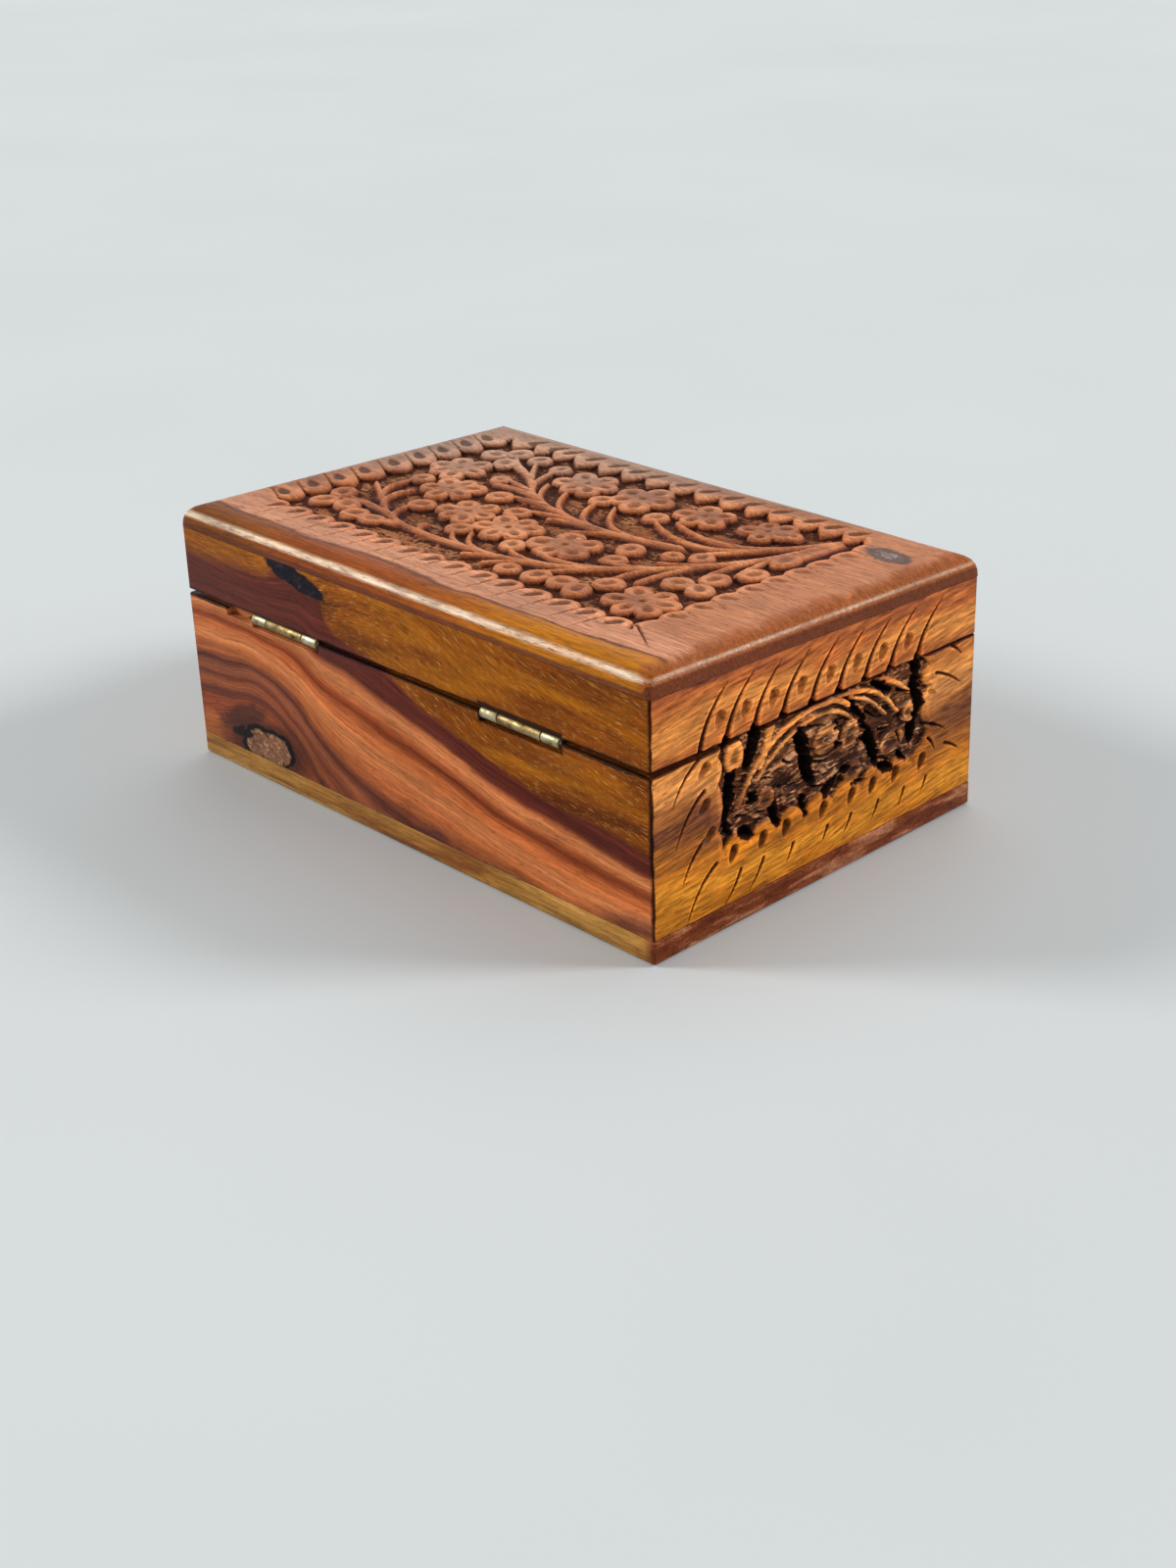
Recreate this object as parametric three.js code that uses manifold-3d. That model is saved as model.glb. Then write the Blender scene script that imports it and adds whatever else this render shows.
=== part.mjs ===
// Carved hardwood trinket box: a mitred base and a mitred lid on two small brass butt hinges.
// Millimetres, +Z up, origin on the table under the middle of the box, back (hinge side) at +Y.
import * as THREE from 'three';
import { mergeVertices } from 'three/addons/utils/BufferGeometryUtils.js';
import Module from 'manifold-3d';

const wasm = await Module();
wasm.setup();

// Driving dimensions of the woodwork
const boxLength = 152;
const boxWidth = 100;
const bottomThickness = 5.5;
const wallHeight = 35.2;
const wallThickness = 8;
const railHeightAtBack = 14.9;
const railHeightAtFront = 12.8;
const topThickness = 5.3;
const topRound = 5;
const bottomEase = 1;
const cornerEase = 0.9;
const glueLine = 0.15;

// The lid shuts on its front edge, and the hinges hold its back edge a little higher
const gapAtBack = 1.2;
const gapAtFront = 0.3;

// Driving dimensions of the hinges
const hingeSpacing = 78;
const hingeLength = 23.3;
const hingeInset = 0.8;
const barrelRadius = 1.25;
const outerKnuckle = 5;
const knuckleGap = 0.3;
const leafThickness = 0.8;
const leafReach = 6;
const seatGap = 0.15;
const pinRadius = 0.55;
const pinPlay = 0.1;
const pinOverhang = 0.2;
const mortisePlay = 0.55;
const reliefDepth = 2.3;
const reliefReach = 2.4;
const screwSpacing = 15;
const screwFromAxis = 3.6;
const screwHeadRadius = 1.6;
const screwHeadHeight = 0.75;
const screwShankRadius = 0.9;
const screwPoint = 1.2;
const screwLength = 6.5;
const screwPlay = 0.15;

// A slip of the chisel beside one hinge left a shallow notch in the back wall's top edge
const slipStart = 52.2;
const slipLength = 8.7;
const slipDepth = 1.8;
const slipReach = 2.2;

// Driving dimensions of the relief carving
const groundDepth = 2.6;
const topGroundDepth = 1.8;
const tonguePitch = 7.6;
const tongueTip = 3;
const knifeWidth = 0.7;
const knifeDepth = 0.9;
const gougeLength = 4;
const gougeWidth = 1.5;
const gougeDepth = 0.8;
const cutLip = 0.3;
const topFieldLength = 115;
const topFieldWidth = 67;
const topFieldShiftX = 3.9;
const topFieldShiftY = -2.8;
const sideFieldBottom = 15.5;
const sideRowStart = 2;
const sidePitch = 8.4;
const endFieldLength = 61;
const frontFieldLength = 98;

// How far the knife cuts of each row run out from its notches, how far they lean along the row on the
// way, and how much they bow
const topCuts = {
  back: { length: 8, lean: -1.4, bow: 0 },
  front: { length: 3, lean: 2.4, bow: 0 },
  right: { length: 6.5, lean: -2, bow: 0.05 },
  left: { length: 5, lean: 2, bow: 0.05 },
};
const sideCuts = {
  bottom: { length: 10, lean: -4, bow: 0 },
  left: { length: 9, lean: 8, bow: 0.08 },
  right: { length: 9, lean: 5, bow: -0.08 },
};
const railCuts = { foot: 1.2, top: 11.8, lean: 7.5, bow: 0.12 };
const railNotch = { width: 2, height: 1.6 };
const railGouge = { height: 5.2, share: 0.72, turn: -0.3, length: 3.2 };

const flowerRadius = 7.6;
const budRadius = 2.8;
const spineHalfWidth = 1.5;
const strandHalfWidth = 0.95;
const reliefRoot = 0.5;
const flowerCrest = 0.2;
const strandCrest = 0.6;
const dishDepth = 0.8;

// How finely round forms are faceted
const cornerFacets = 2;
const roundFacets = 4;
const tongueFacets = 3;
const padSides = 6;
const gougeSides = 4;
const barrelSides = 6;
const screwSides = 8;

// Sizes that follow from the driving ones
const wallFoot = bottomThickness + glueLine;
const baseTop = wallFoot + wallHeight;
const railSeat = barrelRadius + seatGap;
const hingeY = boxWidth / 2 - hingeInset;
const hingeZ = baseTop + gapAtBack - railSeat;
const leafSeat = hingeZ - barrelRadius - seatGap;
const lidTilt = Math.atan((gapAtBack - gapAtFront) / boxWidth);
const lidTaper = Math.atan((railHeightAtBack - railHeightAtFront) / boxWidth);
const boreRadius = pinRadius + pinPlay;
const middleKnuckle = hingeLength - 2 * (outerKnuckle + knuckleGap);
const pilotDepth = screwLength - leafThickness - seatGap + screwPlay;
const overcut = 1;

const finishes = {
  heartwood: { color: 0x9c5f45, roughness: 0.5, metalness: 0 },
  sapwood: { color: 0xa8743c, roughness: 0.4, metalness: 0 },
  brass: { color: 0xb59a5c, roughness: 0.38, metalness: 1 },
  steel: { color: 0x8d8a80, roughness: 0.4, metalness: 1 },
};

// Solids: from a closed three.js geometry to a manifold, and back to a mesh

function solidOf(geometry) {
  const bare = geometry.clone();
  bare.deleteAttribute('normal');
  bare.deleteAttribute('uv');
  const merged = mergeVertices(bare);
  const corners = [];
  for (let i = 0; i < merged.index.count; i += 3) {
    const [a, b, c] = [0, 1, 2].map((k) => merged.index.getX(i + k));
    if (a !== b && b !== c && c !== a) corners.push(a, b, c);
  }
  const mesh = new wasm.Mesh({
    numProp: 3,
    vertProperties: Float32Array.from(merged.attributes.position.array),
    triVerts: Uint32Array.from(corners),
  });
  return new wasm.Manifold(mesh);
}

function geometryOf(solid) {
  const mesh = solid.getMesh();
  const geometry = new THREE.BufferGeometry();
  geometry.setAttribute('position', new THREE.BufferAttribute(mesh.vertProperties, mesh.numProp));
  geometry.setIndex(new THREE.BufferAttribute(mesh.triVerts, 1));
  geometry.computeVertexNormals();
  return geometry;
}

function piece(name, solid, finish) {
  const material = new THREE.MeshStandardMaterial({ ...finishes[finish], flatShading: true });
  const mesh = new THREE.Mesh(geometryOf(solid), material);
  mesh.name = name;
  return mesh;
}

function join(solids) {
  return solids.reduce((sum, solid) => sum.add(solid));
}

function box(from, to) {
  const size = new THREE.Vector3().subVectors(to, from);
  const middle = new THREE.Vector3().addVectors(from, to).divideScalar(2);
  const geometry = new THREE.BoxGeometry(size.x, size.y, size.z);
  return solidOf(geometry.translate(middle.x, middle.y, middle.z));
}

function prism(shape, low, high, curveSegments = cornerFacets) {
  const settings = { depth: high - low, bevelEnabled: false, curveSegments };
  const geometry = new THREE.ExtrudeGeometry(shape, settings);
  return solidOf(geometry.translate(0, 0, low));
}

function point(x, y, z) {
  return new THREE.Vector3(x, y, z);
}

// Plain boards

function rectangle(length, width) {
  const ends = [[-1, -1], [1, -1], [1, 1], [-1, 1]];
  return new THREE.Shape(ends.map(([x, y]) => new THREE.Vector2((x * length) / 2, (y * width) / 2)));
}

function roundedRectangle(length, width, radius) {
  const x = length / 2 - radius;
  const y = width / 2 - radius;
  const shape = new THREE.Shape();
  shape.absarc(x, y, radius, 0, Math.PI / 2);
  shape.absarc(-x, y, radius, Math.PI / 2, Math.PI);
  shape.absarc(-x, -y, radius, Math.PI, 1.5 * Math.PI);
  shape.absarc(x, -y, radius, 1.5 * Math.PI, 2 * Math.PI);
  return shape;
}

// A board of the full footprint with one face on z = 0 and that face's edges rounded over
function slab(thickness, edgeRadius, facets) {
  const inner = rectangle(boxLength - 2 * edgeRadius, boxWidth - 2 * edgeRadius);
  const rounded = new THREE.ExtrudeGeometry(inner, {
    depth: thickness,
    bevelThickness: edgeRadius,
    bevelSize: edgeRadius,
    bevelSegments: facets,
    curveSegments: 1,
  });
  rounded.translate(0, 0, -(thickness + edgeRadius));
  const footprint = roundedRectangle(boxLength, boxWidth, cornerEase);
  return solidOf(rounded).intersect(prism(footprint, -thickness, overcut));
}

// A wall or rail in its own frame: x along it, y up it, z out of it, with the outer face on z = 0.
// Its ends are mitred, and the upright corner that the mitre lies on is eased.
function mitredBoard(length, height) {
  const half = length / 2 - glueLine * Math.SQRT1_2;
  const corner = half - cornerEase;
  const shape = new THREE.Shape();
  shape.absarc(-corner, cornerEase, cornerEase, 1.25 * Math.PI, 1.5 * Math.PI);
  shape.absarc(corner, cornerEase, cornerEase, 1.5 * Math.PI, 1.75 * Math.PI);
  shape.lineTo(half - wallThickness, wallThickness);
  shape.lineTo(-(half - wallThickness), wallThickness);
  const geometry = new THREE.ExtrudeGeometry(shape, {
    depth: height,
    bevelEnabled: false,
    curveSegments: cornerFacets,
  });
  return solidOf(geometry.rotateX(-Math.PI / 2));
}

// Carving tools. A carved face lies in x and y with z out of the wood and its surface on z = 0.

// A body swept along a flat curve: section gives the side offsets and heights at a share of the way
function sweep(curve, steps, section) {
  const rings = [];
  for (let i = 0; i <= steps; i += 1) {
    const share = i / steps;
    const at = curve.getPoint(share);
    const ahead = curve.getTangent(share);
    const ring = section(share);
    rings.push(ring.map(([side, height]) => [at.x - ahead.y * side, at.y + ahead.x * side, height]));
  }
  const count = rings[0].length;
  const index = [];
  for (let i = 0; i < steps; i += 1) {
    for (let k = 0; k < count; k += 1) {
      const a = i * count + k;
      const b = i * count + ((k + 1) % count);
      index.push(a, a + count, b, b, a + count, b + count);
    }
  }
  for (let k = 1; k < count - 1; k += 1) {
    const last = steps * count;
    index.push(0, k, k + 1, last, last + k + 1, last + k);
  }
  const geometry = new THREE.BufferGeometry();
  geometry.setAttribute('position', new THREE.Float32BufferAttribute(rings.flat(2), 3));
  geometry.setIndex(index);
  return solidOf(geometry);
}

// A V cut of the knife, from wide and deep at its start to nothing at its end
function knifeCut(from, to, bow) {
  const side = point(from.y - to.y, to.x - from.x, 0).multiplyScalar(bow);
  const middle = new THREE.Vector3().addVectors(from, to).divideScalar(2).add(side);
  const curve = new THREE.QuadraticBezierCurve3(from, middle, to);
  return sweep(curve, bow ? 2 : 1, (share) => {
    const left = 1 - 0.7 * share;
    const spread = (knifeWidth / 2) * left * (1 + cutLip / knifeDepth);
    return [[spread, cutLip], [0, -knifeDepth * left], [-spread, cutLip]];
  });
}

// One push of a small gouge: a pit whose mouth lies on the surface
function gougeMark(at, turn, length = gougeLength) {
  const geometry = new THREE.ConeGeometry(1, 2, gougeSides).rotateX(-Math.PI / 2);
  geometry.scale(gougeWidth, length, gougeDepth);
  geometry.rotateZ(turn).translate(at.x, at.y, 0);
  return solidOf(geometry);
}

// A petal or bud left standing: steep sides up to a rim, and a dish in the middle
function pad(at, radius, crest, turn = 0) {
  const foot = -(groundDepth + reliefRoot);
  const profile = [
    new THREE.Vector2(0, foot),
    new THREE.Vector2(radius, foot),
    new THREE.Vector2(radius * 0.85, -crest),
    new THREE.Vector2(0, -crest - dishDepth),
  ];
  const geometry = new THREE.LatheGeometry(profile, padSides).rotateX(Math.PI / 2);
  return solidOf(geometry.rotateZ(turn).translate(at.x, at.y, 0));
}

function flower(at, radius, petals, turn, centreShare = 0.28) {
  const petalRadius = radius * (petals > 5 ? 0.3 : 0.33);
  const reach = radius - petalRadius;
  const parts = centreShare ? [pad(at, radius * centreShare, strandCrest)] : [];
  for (let i = 0; i < petals; i += 1) {
    const angle = turn + (i / petals) * 2 * Math.PI;
    const place = point(at.x + reach * Math.cos(angle), at.y + reach * Math.sin(angle), 0);
    parts.push(pad(place, petalRadius, flowerCrest, angle));
  }
  return join(parts);
}

// A stem left standing: a ridge that tapers along a curve
function stem(curve, steps, startHalf, endHalf, crest) {
  const foot = -(groundDepth + reliefRoot);
  return sweep(curve, steps, (share) => {
    const half = startHalf + (endHalf - startHalf) * share;
    return [[-half, foot], [-half * 0.4, -crest], [half * 0.4, -crest], [half, foot]];
  });
}

// A frond: a curved spine with strands that leave it and sweep out to their tips
function frond(place, spine, strands) {
  const spineCurve = new THREE.CatmullRomCurve3(spine.map(place));
  const parts = [stem(spineCurve, 2 * spine.length, spineHalfWidth, strandHalfWidth, strandCrest)];
  for (const [share, along, across, bud] of strands) {
    const root = spineCurve.getPoint(share);
    const tip = place([along, across]);
    const lead = root.distanceTo(tip) * 0.5;
    const bend = spineCurve.getTangent(share).multiplyScalar(lead).add(root);
    const curve = new THREE.QuadraticBezierCurve3(root, bend, tip);
    parts.push(stem(curve, 3, strandHalfWidth * 1.15, strandHalfWidth * 0.7, strandCrest + 0.2));
    if (bud) parts.push(pad(tip, budRadius * bud, strandCrest));
  }
  return join(parts);
}

// The outline of a sunk field whose border is a row of round tongues on each side given
function tonguedOutline(left, right, bottom, top, pitch, openTop = false) {
  const across = Math.max(2, Math.round((right - left) / pitch));
  const up = Math.max(2, Math.round((top - bottom) / pitch));
  const shape = new THREE.Shape();
  const reach = (4 / 3) * tongueTip;
  const vector = (x, y) => new THREE.Vector2(x, y);
  const row = (from, to, count, inX, inY) => {
    shape.lineTo(from.x, from.y);
    for (let i = 0; i < count; i += 1) {
      const notch = new THREE.Vector2().lerpVectors(from, to, i / count);
      const next = new THREE.Vector2().lerpVectors(from, to, (i + 1) / count);
      const lead = vector(notch.x + inX * reach, notch.y + inY * reach);
      const trail = vector(next.x + inX * reach, next.y + inY * reach);
      shape.bezierCurveTo(lead.x, lead.y, trail.x, trail.y, next.x, next.y);
    }
  };
  const corner = tongueTip * 0.3;
  shape.moveTo(left - corner, bottom - corner);
  row(vector(left, bottom - tongueTip), vector(right, bottom - tongueTip), across, 0, 1);
  shape.lineTo(right + corner, bottom - corner);
  row(vector(right + tongueTip, bottom), vector(right + tongueTip, top), up, -1, 0);
  if (openTop) {
    shape.lineTo(right + tongueTip, top + overcut);
    shape.lineTo(left - tongueTip, top + overcut);
  } else {
    shape.lineTo(right + corner, top + corner);
    row(vector(right, top + tongueTip), vector(left, top + tongueTip), across, 0, -1);
    shape.lineTo(left - corner, top + corner);
  }
  row(vector(left - tongueTip, top), vector(left - tongueTip, bottom), up, 1, 0);
  return shape;
}

// The knife cuts and gouge marks of one row of tongues. The row runs from one point to another, and out
// points away from the field.
function tongueRow(from, to, out, pitch, cut) {
  const count = Math.max(2, Math.round(from.distanceTo(to) / pitch));
  const along = new THREE.Vector3().subVectors(to, from).normalize();
  const marks = [];
  const stray = (distance, leanShare) =>
    out.clone().multiplyScalar(distance).addScaledVector(along, cut.lean * leanShare);
  for (let i = 0; i <= count; i += 1) {
    const notch = new THREE.Vector3().lerpVectors(from, to, i / count);
    const start = stray(tongueTip - 0.5, 0).add(notch);
    const end = stray(tongueTip + cut.length, 1).add(notch);
    marks.push(knifeCut(start, end, cut.bow));
    if (i === count) break;
    const tip = new THREE.Vector3().lerpVectors(from, to, (i + 0.5) / count);
    const turn = Math.atan2(end.y - start.y, end.x - start.x) - Math.PI / 2;
    marks.push(gougeMark(stray(tongueTip + 1, 0.35).add(tip), turn));
  }
  return marks;
}

// The top board's carving: three fronds spring from one corner and sweep across a field of flowers

function carvedTop() {
  const halfLength = topFieldLength / 2;
  const halfWidth = topFieldWidth / 2;
  const place = ([along, across]) =>
    point(topFieldShiftX + along * halfLength, topFieldShiftY + across * halfWidth, 0);
  const left = topFieldShiftX - halfLength;
  const right = topFieldShiftX + halfLength;
  const front = topFieldShiftY - halfWidth;
  const back = topFieldShiftY + halfWidth;

  const flowers = [
    [0.29, -0.72, 1.03, 6, 0.3], [-0.02, -0.73, 1.05, 5, 0.9], [-0.35, -0.75, 0.92, 5, 0.2],
    [-0.65, -0.8, 0.92, 5, 0.5], [0.84, -0.35, 0.99, 5, 0.1], [0.64, 0.02, 0.95, 5, 0.6],
    [0.36, 0.29, 0.99, 5, 0.2], [0.1, 0.33, 1.03, 6, 0.5], [-0.21, 0.32, 1.08, 5, 0.2],
    [-0.87, 0.73, 1.05, 5, 0.4],
  ];
  const trefoils = [
    [-0.85, 0.24, 0.75], [-0.57, 0.71, 0.4], [0.85, 0.67, 0.9], [0.84, -0.8, 0.3],
  ];
  const looseBuds = [
    [-0.75, -0.83, 0.9], [-0.42, 0.08, 1.2], [-0.46, 0.29, 0.9], [-0.69, -0.13, 1],
    [-0.58, -0.03, 0.9], [-0.39, 0.84, 1.15], [-0.25, 0.87, 1.1], [0.67, 0.84, 1.1],
    [-0.95, -0.11, 1.1], [0.57, 0.38, 1],
  ];

  // Rows are the share of the spine where a strand leaves, its tip, and its bud if it has one
  const upperFrond = frond(
    place,
    [[-0.54, -0.16], [-0.23, -0.07], [0.06, -0.12], [0.32, -0.27], [0.58, -0.6], [0.88, -0.8]],
    [
      [0.07, -0.01, -0.47], [0.22, 0.1, -0.52, 0.9], [0.33, 0.27, -0.48], [0.47, 0.41, -0.53],
      [0.56, 0.52, -0.81, 0.95], [0.7, 0.68, -0.88, 1], [0.7, 0.77, -0.67], [0.6, 0.6, -0.37, 0.9],
      [0.45, 0.43, -0.1, 0.9], [0.3, 0.22, 0.05, 1], [0.24, 0.08, 0], [0.07, -0.25, 0.11],
    ],
  );
  const cornerFrond = frond(
    place,
    [[-0.94, -0.92], [-0.86, -0.69], [-0.76, -0.43], [-0.66, -0.23]],
    [
      [0.3, -0.32, -0.53], [0.8, -0.21, -0.52, 1], [0.02, -0.93, -0.43, 1.25],
    ],
  );
  const lowerFrond = frond(
    place,
    [[-0.93, -0.88], [-0.85, -0.3], [-0.64, 0.26], [-0.32, 0.67], [0.07, 0.79], [0.51, 0.72], [0.93, 0.28]],
    [
      [0.93, 0.86, -0.01, 0.9], [0.9, 0.75, 0.21], [0.83, 0.6, 0.41], [0.75, 0.37, 0.64],
      [0.64, 0.24, 0.55, 1], [0.6, 0.16, 0.55], [0.45, -0.06, 0.53, 1], [0.36, -0.16, 0.51],
      [0.16, -0.62, 0.14], [0.84, 0.85, 0.62], [0.8, 0.57, 0.86, 1], [0.5, -0.13, 0.9],
      [0.38, -0.38, 0.75], [0.3, -0.61, 0.6], [0.13, -0.84, 0.19], [0.98, 0.92, 0.29, 0.95],
    ],
  );

  const raised = [upperFrond, cornerFrond, lowerFrond];
  for (const [along, across, size, petals, turn] of flowers) {
    const at = place([along, across]);
    raised.push(flower(at, flowerRadius * size, petals, turn));
  }
  for (const [along, across, turn] of trefoils) {
    raised.push(flower(place([along, across]), flowerRadius * 0.75, 3, turn, 0));
  }
  for (const [along, across, size] of looseBuds) {
    raised.push(pad(place([along, across]), budRadius * size, strandCrest));
  }

  const outline = tonguedOutline(left, right, front, back, tonguePitch);
  const field = prism(outline, -topGroundDepth, overcut, tongueFacets);
  const marks = [
    ...tongueRow(point(left, back, 0), point(right, back, 0), point(0, 1, 0), tonguePitch, topCuts.back),
    ...tongueRow(point(left, front, 0), point(right, front, 0), point(0, -1, 0), tonguePitch, topCuts.front),
    ...tongueRow(point(right, front, 0), point(right, back, 0), point(1, 0, 0), tonguePitch, topCuts.right),
    ...tongueRow(point(left, front, 0), point(left, back, 0), point(-1, 0, 0), tonguePitch, topCuts.left),
  ];
  const board = slab(topThickness, topRound, roundFacets);
  return board
    .subtract(field)
    .add(join(raised))
    .subtract(join(marks));
}

// The carving that crosses the seam of each end and of the front: arched leaves over a row of lobes,
// in a field with tongues below and at its sides on the wall, and above on the rail

function archedLeaves(half, shift) {
  const rise = wallHeight - sideFieldBottom;
  const place = ([along, up]) => point(shift + along * half, sideFieldBottom + up * rise, 0);
  const arches = [
    [[-0.94, 0.06], [-0.65, 0.98], [0.02, 0.93]],
    [[0.02, 0.93], [0.42, 0.93], [0.74, 0.45]],
    [[-0.5, 0.66], [-0.05, 1], [0.42, 0.5]],
  ];
  const lobes = [
    [-0.6, 0.22, 0.9], [-0.33, 0.3, 1.3], [0.03, 0.48, 1.5], [0.2, 0.14, 1.1],
    [0.64, 0.2, 1.3], [-0.86, 0.78, 0.9],
  ];
  const parts = arches.map(([from, over, to]) => {
    const curve = new THREE.QuadraticBezierCurve3(place(from), place(over), place(to));
    return stem(curve, 5, strandHalfWidth * 1.3, strandHalfWidth, strandCrest);
  });
  for (const [along, up, size] of lobes) {
    parts.push(pad(place([along, up]), budRadius * size, strandCrest));
  }
  return join(parts);
}

function carvedWall(length, fieldLength, shift, motifs) {
  const half = fieldLength / 2;
  const left = shift - half;
  const right = shift + half;
  const outline = tonguedOutline(left, right, sideFieldBottom, wallHeight, sidePitch, true);
  const field = prism(outline, -groundDepth, overcut, tongueFacets);
  const rowTop = wallHeight - sideRowStart;
  const bottomRow = [point(left, sideFieldBottom, 0), point(right, sideFieldBottom, 0), point(0, -1, 0)];
  const leftRow = [point(left, rowTop, 0), point(left, sideFieldBottom, 0), point(-1, 0, 0)];
  const rightRow = [point(right, rowTop, 0), point(right, sideFieldBottom, 0), point(1, 0, 0)];
  const marks = [
    ...tongueRow(...bottomRow, sidePitch, sideCuts.bottom),
    ...tongueRow(...leftRow, sidePitch, sideCuts.left),
    ...tongueRow(...rightRow, sidePitch, sideCuts.right),
  ];
  const keep = box(point(left - tongueTip, 0, -wallThickness), point(right + tongueTip, wallHeight, 0));
  return mitredBoard(length, wallHeight)
    .subtract(field)
    .add(join(motifs).intersect(keep))
    .subtract(join(marks));
}

function carvedRail(length, fieldLength, shift) {
  const count = Math.round(fieldLength / sidePitch);
  const pitch = fieldLength / count;
  const left = shift - fieldLength / 2;
  const half = railNotch.width / 2;
  const marks = [];
  for (let i = -1; i <= count; i += 1) {
    const foot = left + i * pitch;
    const notch = new THREE.Shape([
      new THREE.Vector2(foot - half, -overcut),
      new THREE.Vector2(foot + half, -overcut),
      new THREE.Vector2(foot, railNotch.height),
    ]);
    if (i >= 0) marks.push(prism(notch, -groundDepth, overcut));
    const start = point(foot, railCuts.foot, 0);
    const end = point(foot + railCuts.lean, railCuts.top, 0);
    marks.push(knifeCut(start, end, railCuts.bow));
    const eye = point(foot + pitch * railGouge.share, railGouge.height, 0);
    if (i < count) marks.push(gougeMark(eye, railGouge.turn, railGouge.length));
  }
  return mitredBoard(length, railHeightAtBack).subtract(join(marks));
}

// Hinges. A leaf lies in x and y with the pin's axis on x, and its plate reaches away from it in -y.

function knuckle(from, to) {
  const ring = new THREE.Shape().absarc(0, 0, barrelRadius, 0, 2 * Math.PI);
  ring.holes.push(new THREE.Path().absarc(0, 0, boreRadius, 0, 2 * Math.PI, true));
  const geometry = new THREE.ExtrudeGeometry(ring, {
    depth: to - from,
    bevelEnabled: false,
    curveSegments: barrelSides,
  });
  return solidOf(geometry.rotateY(Math.PI / 2).translate(from, 0, 0));
}

function screwHoles(top) {
  const thread = screwShankRadius + screwPlay;
  const profile = [
    new THREE.Vector2(0, -leafThickness - overcut),
    new THREE.Vector2(thread, -leafThickness - overcut),
    new THREE.Vector2(thread, -screwHeadHeight),
    new THREE.Vector2(screwHeadRadius + screwPlay, 0),
    new THREE.Vector2(screwHeadRadius + screwPlay, overcut),
    new THREE.Vector2(0, overcut),
  ];
  return [-1, 1].map((side) => {
    const geometry = new THREE.LatheGeometry(profile, screwSides).rotateX(Math.PI / 2);
    return solidOf(geometry.translate((side * screwSpacing) / 2, -screwFromAxis, top));
  });
}

// The plate's lower face is level with the bottom of the barrel
function leaf(spans, openings) {
  const low = -barrelRadius;
  const half = hingeLength / 2;
  const bore = new THREE.CylinderGeometry(boreRadius, boreRadius, hingeLength + overcut, 2 * barrelSides);
  const plate = box(point(-half, -leafReach, low), point(half, 0, low + leafThickness));
  const clear = -(barrelRadius + knuckleGap);
  const top = low + leafThickness;
  const cutbacks = openings.map(([from, to]) =>
    box(point(from, clear, low - overcut), point(to, overcut, top + overcut)));
  return plate
    .subtract(join(cutbacks))
    .add(join(spans.map(([from, to]) => knuckle(from, to))))
    .subtract(solidOf(bore.rotateZ(Math.PI / 2)))
    .subtract(join(screwHoles(top)));
}

function baseLeaf() {
  const half = hingeLength / 2;
  const gap = middleKnuckle / 2 + knuckleGap;
  return leaf([[-half, -gap], [gap, half]], [[-gap, gap]]);
}

function lidLeaf() {
  const half = hingeLength / 2;
  const middle = middleKnuckle / 2;
  return leaf([[-middle, middle]], [[-half - overcut, -middle], [middle, half + overcut]]);
}

function pin() {
  const length = hingeLength + 2 * pinOverhang;
  const geometry = new THREE.CylinderGeometry(pinRadius, pinRadius, length, screwSides);
  return solidOf(geometry.rotateZ(Math.PI / 2));
}

// A countersunk wood screw that points down, with the top of its head on z = 0
function screw() {
  const profile = [
    new THREE.Vector2(0, -screwLength),
    new THREE.Vector2(screwShankRadius, -(screwLength - screwPoint)),
    new THREE.Vector2(screwShankRadius, -screwHeadHeight),
    new THREE.Vector2(screwHeadRadius, 0),
    new THREE.Vector2(0, 0),
  ];
  return solidOf(new THREE.LatheGeometry(profile, screwSides).rotateX(Math.PI / 2));
}

// Where the hinges are let into the woodwork. A back board's own x runs the other way to the box's.
const hingePlaces = { left: -hingeSpacing / 2, right: hingeSpacing / 2 };

function pilotHoles(centre, foot, direction) {
  const radius = screwShankRadius + screwPlay;
  const hole = new THREE.CylinderGeometry(radius, radius, pilotDepth + overcut, screwSides);
  hole.translate(centre, foot + (direction * (pilotDepth - overcut)) / 2, -(hingeInset + screwFromAxis));
  return [-1, 1].map((side) => solidOf(hole.clone().translate((side * screwSpacing) / 2, 0, 0)));
}

function mortisedBackWall() {
  const seat = leafSeat - wallFoot;
  const cuts = [];
  for (const centre of Object.values(hingePlaces)) {
    const half = hingeLength / 2 + mortisePlay;
    const top = wallHeight + overcut;
    const reach = hingeInset + leafReach + seatGap;
    cuts.push(box(point(centre - half, seat, -reach), point(centre + half, top, overcut)));
    cuts.push(box(
      point(centre - half, wallHeight - reliefDepth, -reliefReach),
      point(centre + half, top, overcut),
    ));
    cuts.push(...pilotHoles(centre, seat, -1));
  }
  cuts.push(box(
    point(-(slipStart + slipLength), wallHeight - slipDepth, -slipReach),
    point(-slipStart, wallHeight + overcut, overcut),
  ));
  return mitredBoard(boxLength, wallHeight).subtract(join(cuts));
}

function drilledBackRail() {
  const holes = Object.values(hingePlaces).flatMap((centre) => pilotHoles(centre, 0, 1));
  return mitredBoard(boxLength, railHeightAtBack).subtract(join(holes));
}

// Four boards stand round the box, each turned to face its own way
const facings = {
  front: { turn: 0, out: boxWidth / 2 },
  left: { turn: -Math.PI / 2, out: boxLength / 2 },
  right: { turn: Math.PI / 2, out: boxLength / 2 },
  back: { turn: Math.PI, out: boxWidth / 2 },
};

function stand(mesh, facing, foot) {
  const holder = new THREE.Group();
  mesh.rotation.x = Math.PI / 2;
  mesh.position.set(0, -facings[facing].out, foot);
  holder.rotation.z = facings[facing].turn;
  holder.add(mesh);
  return holder;
}

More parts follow.
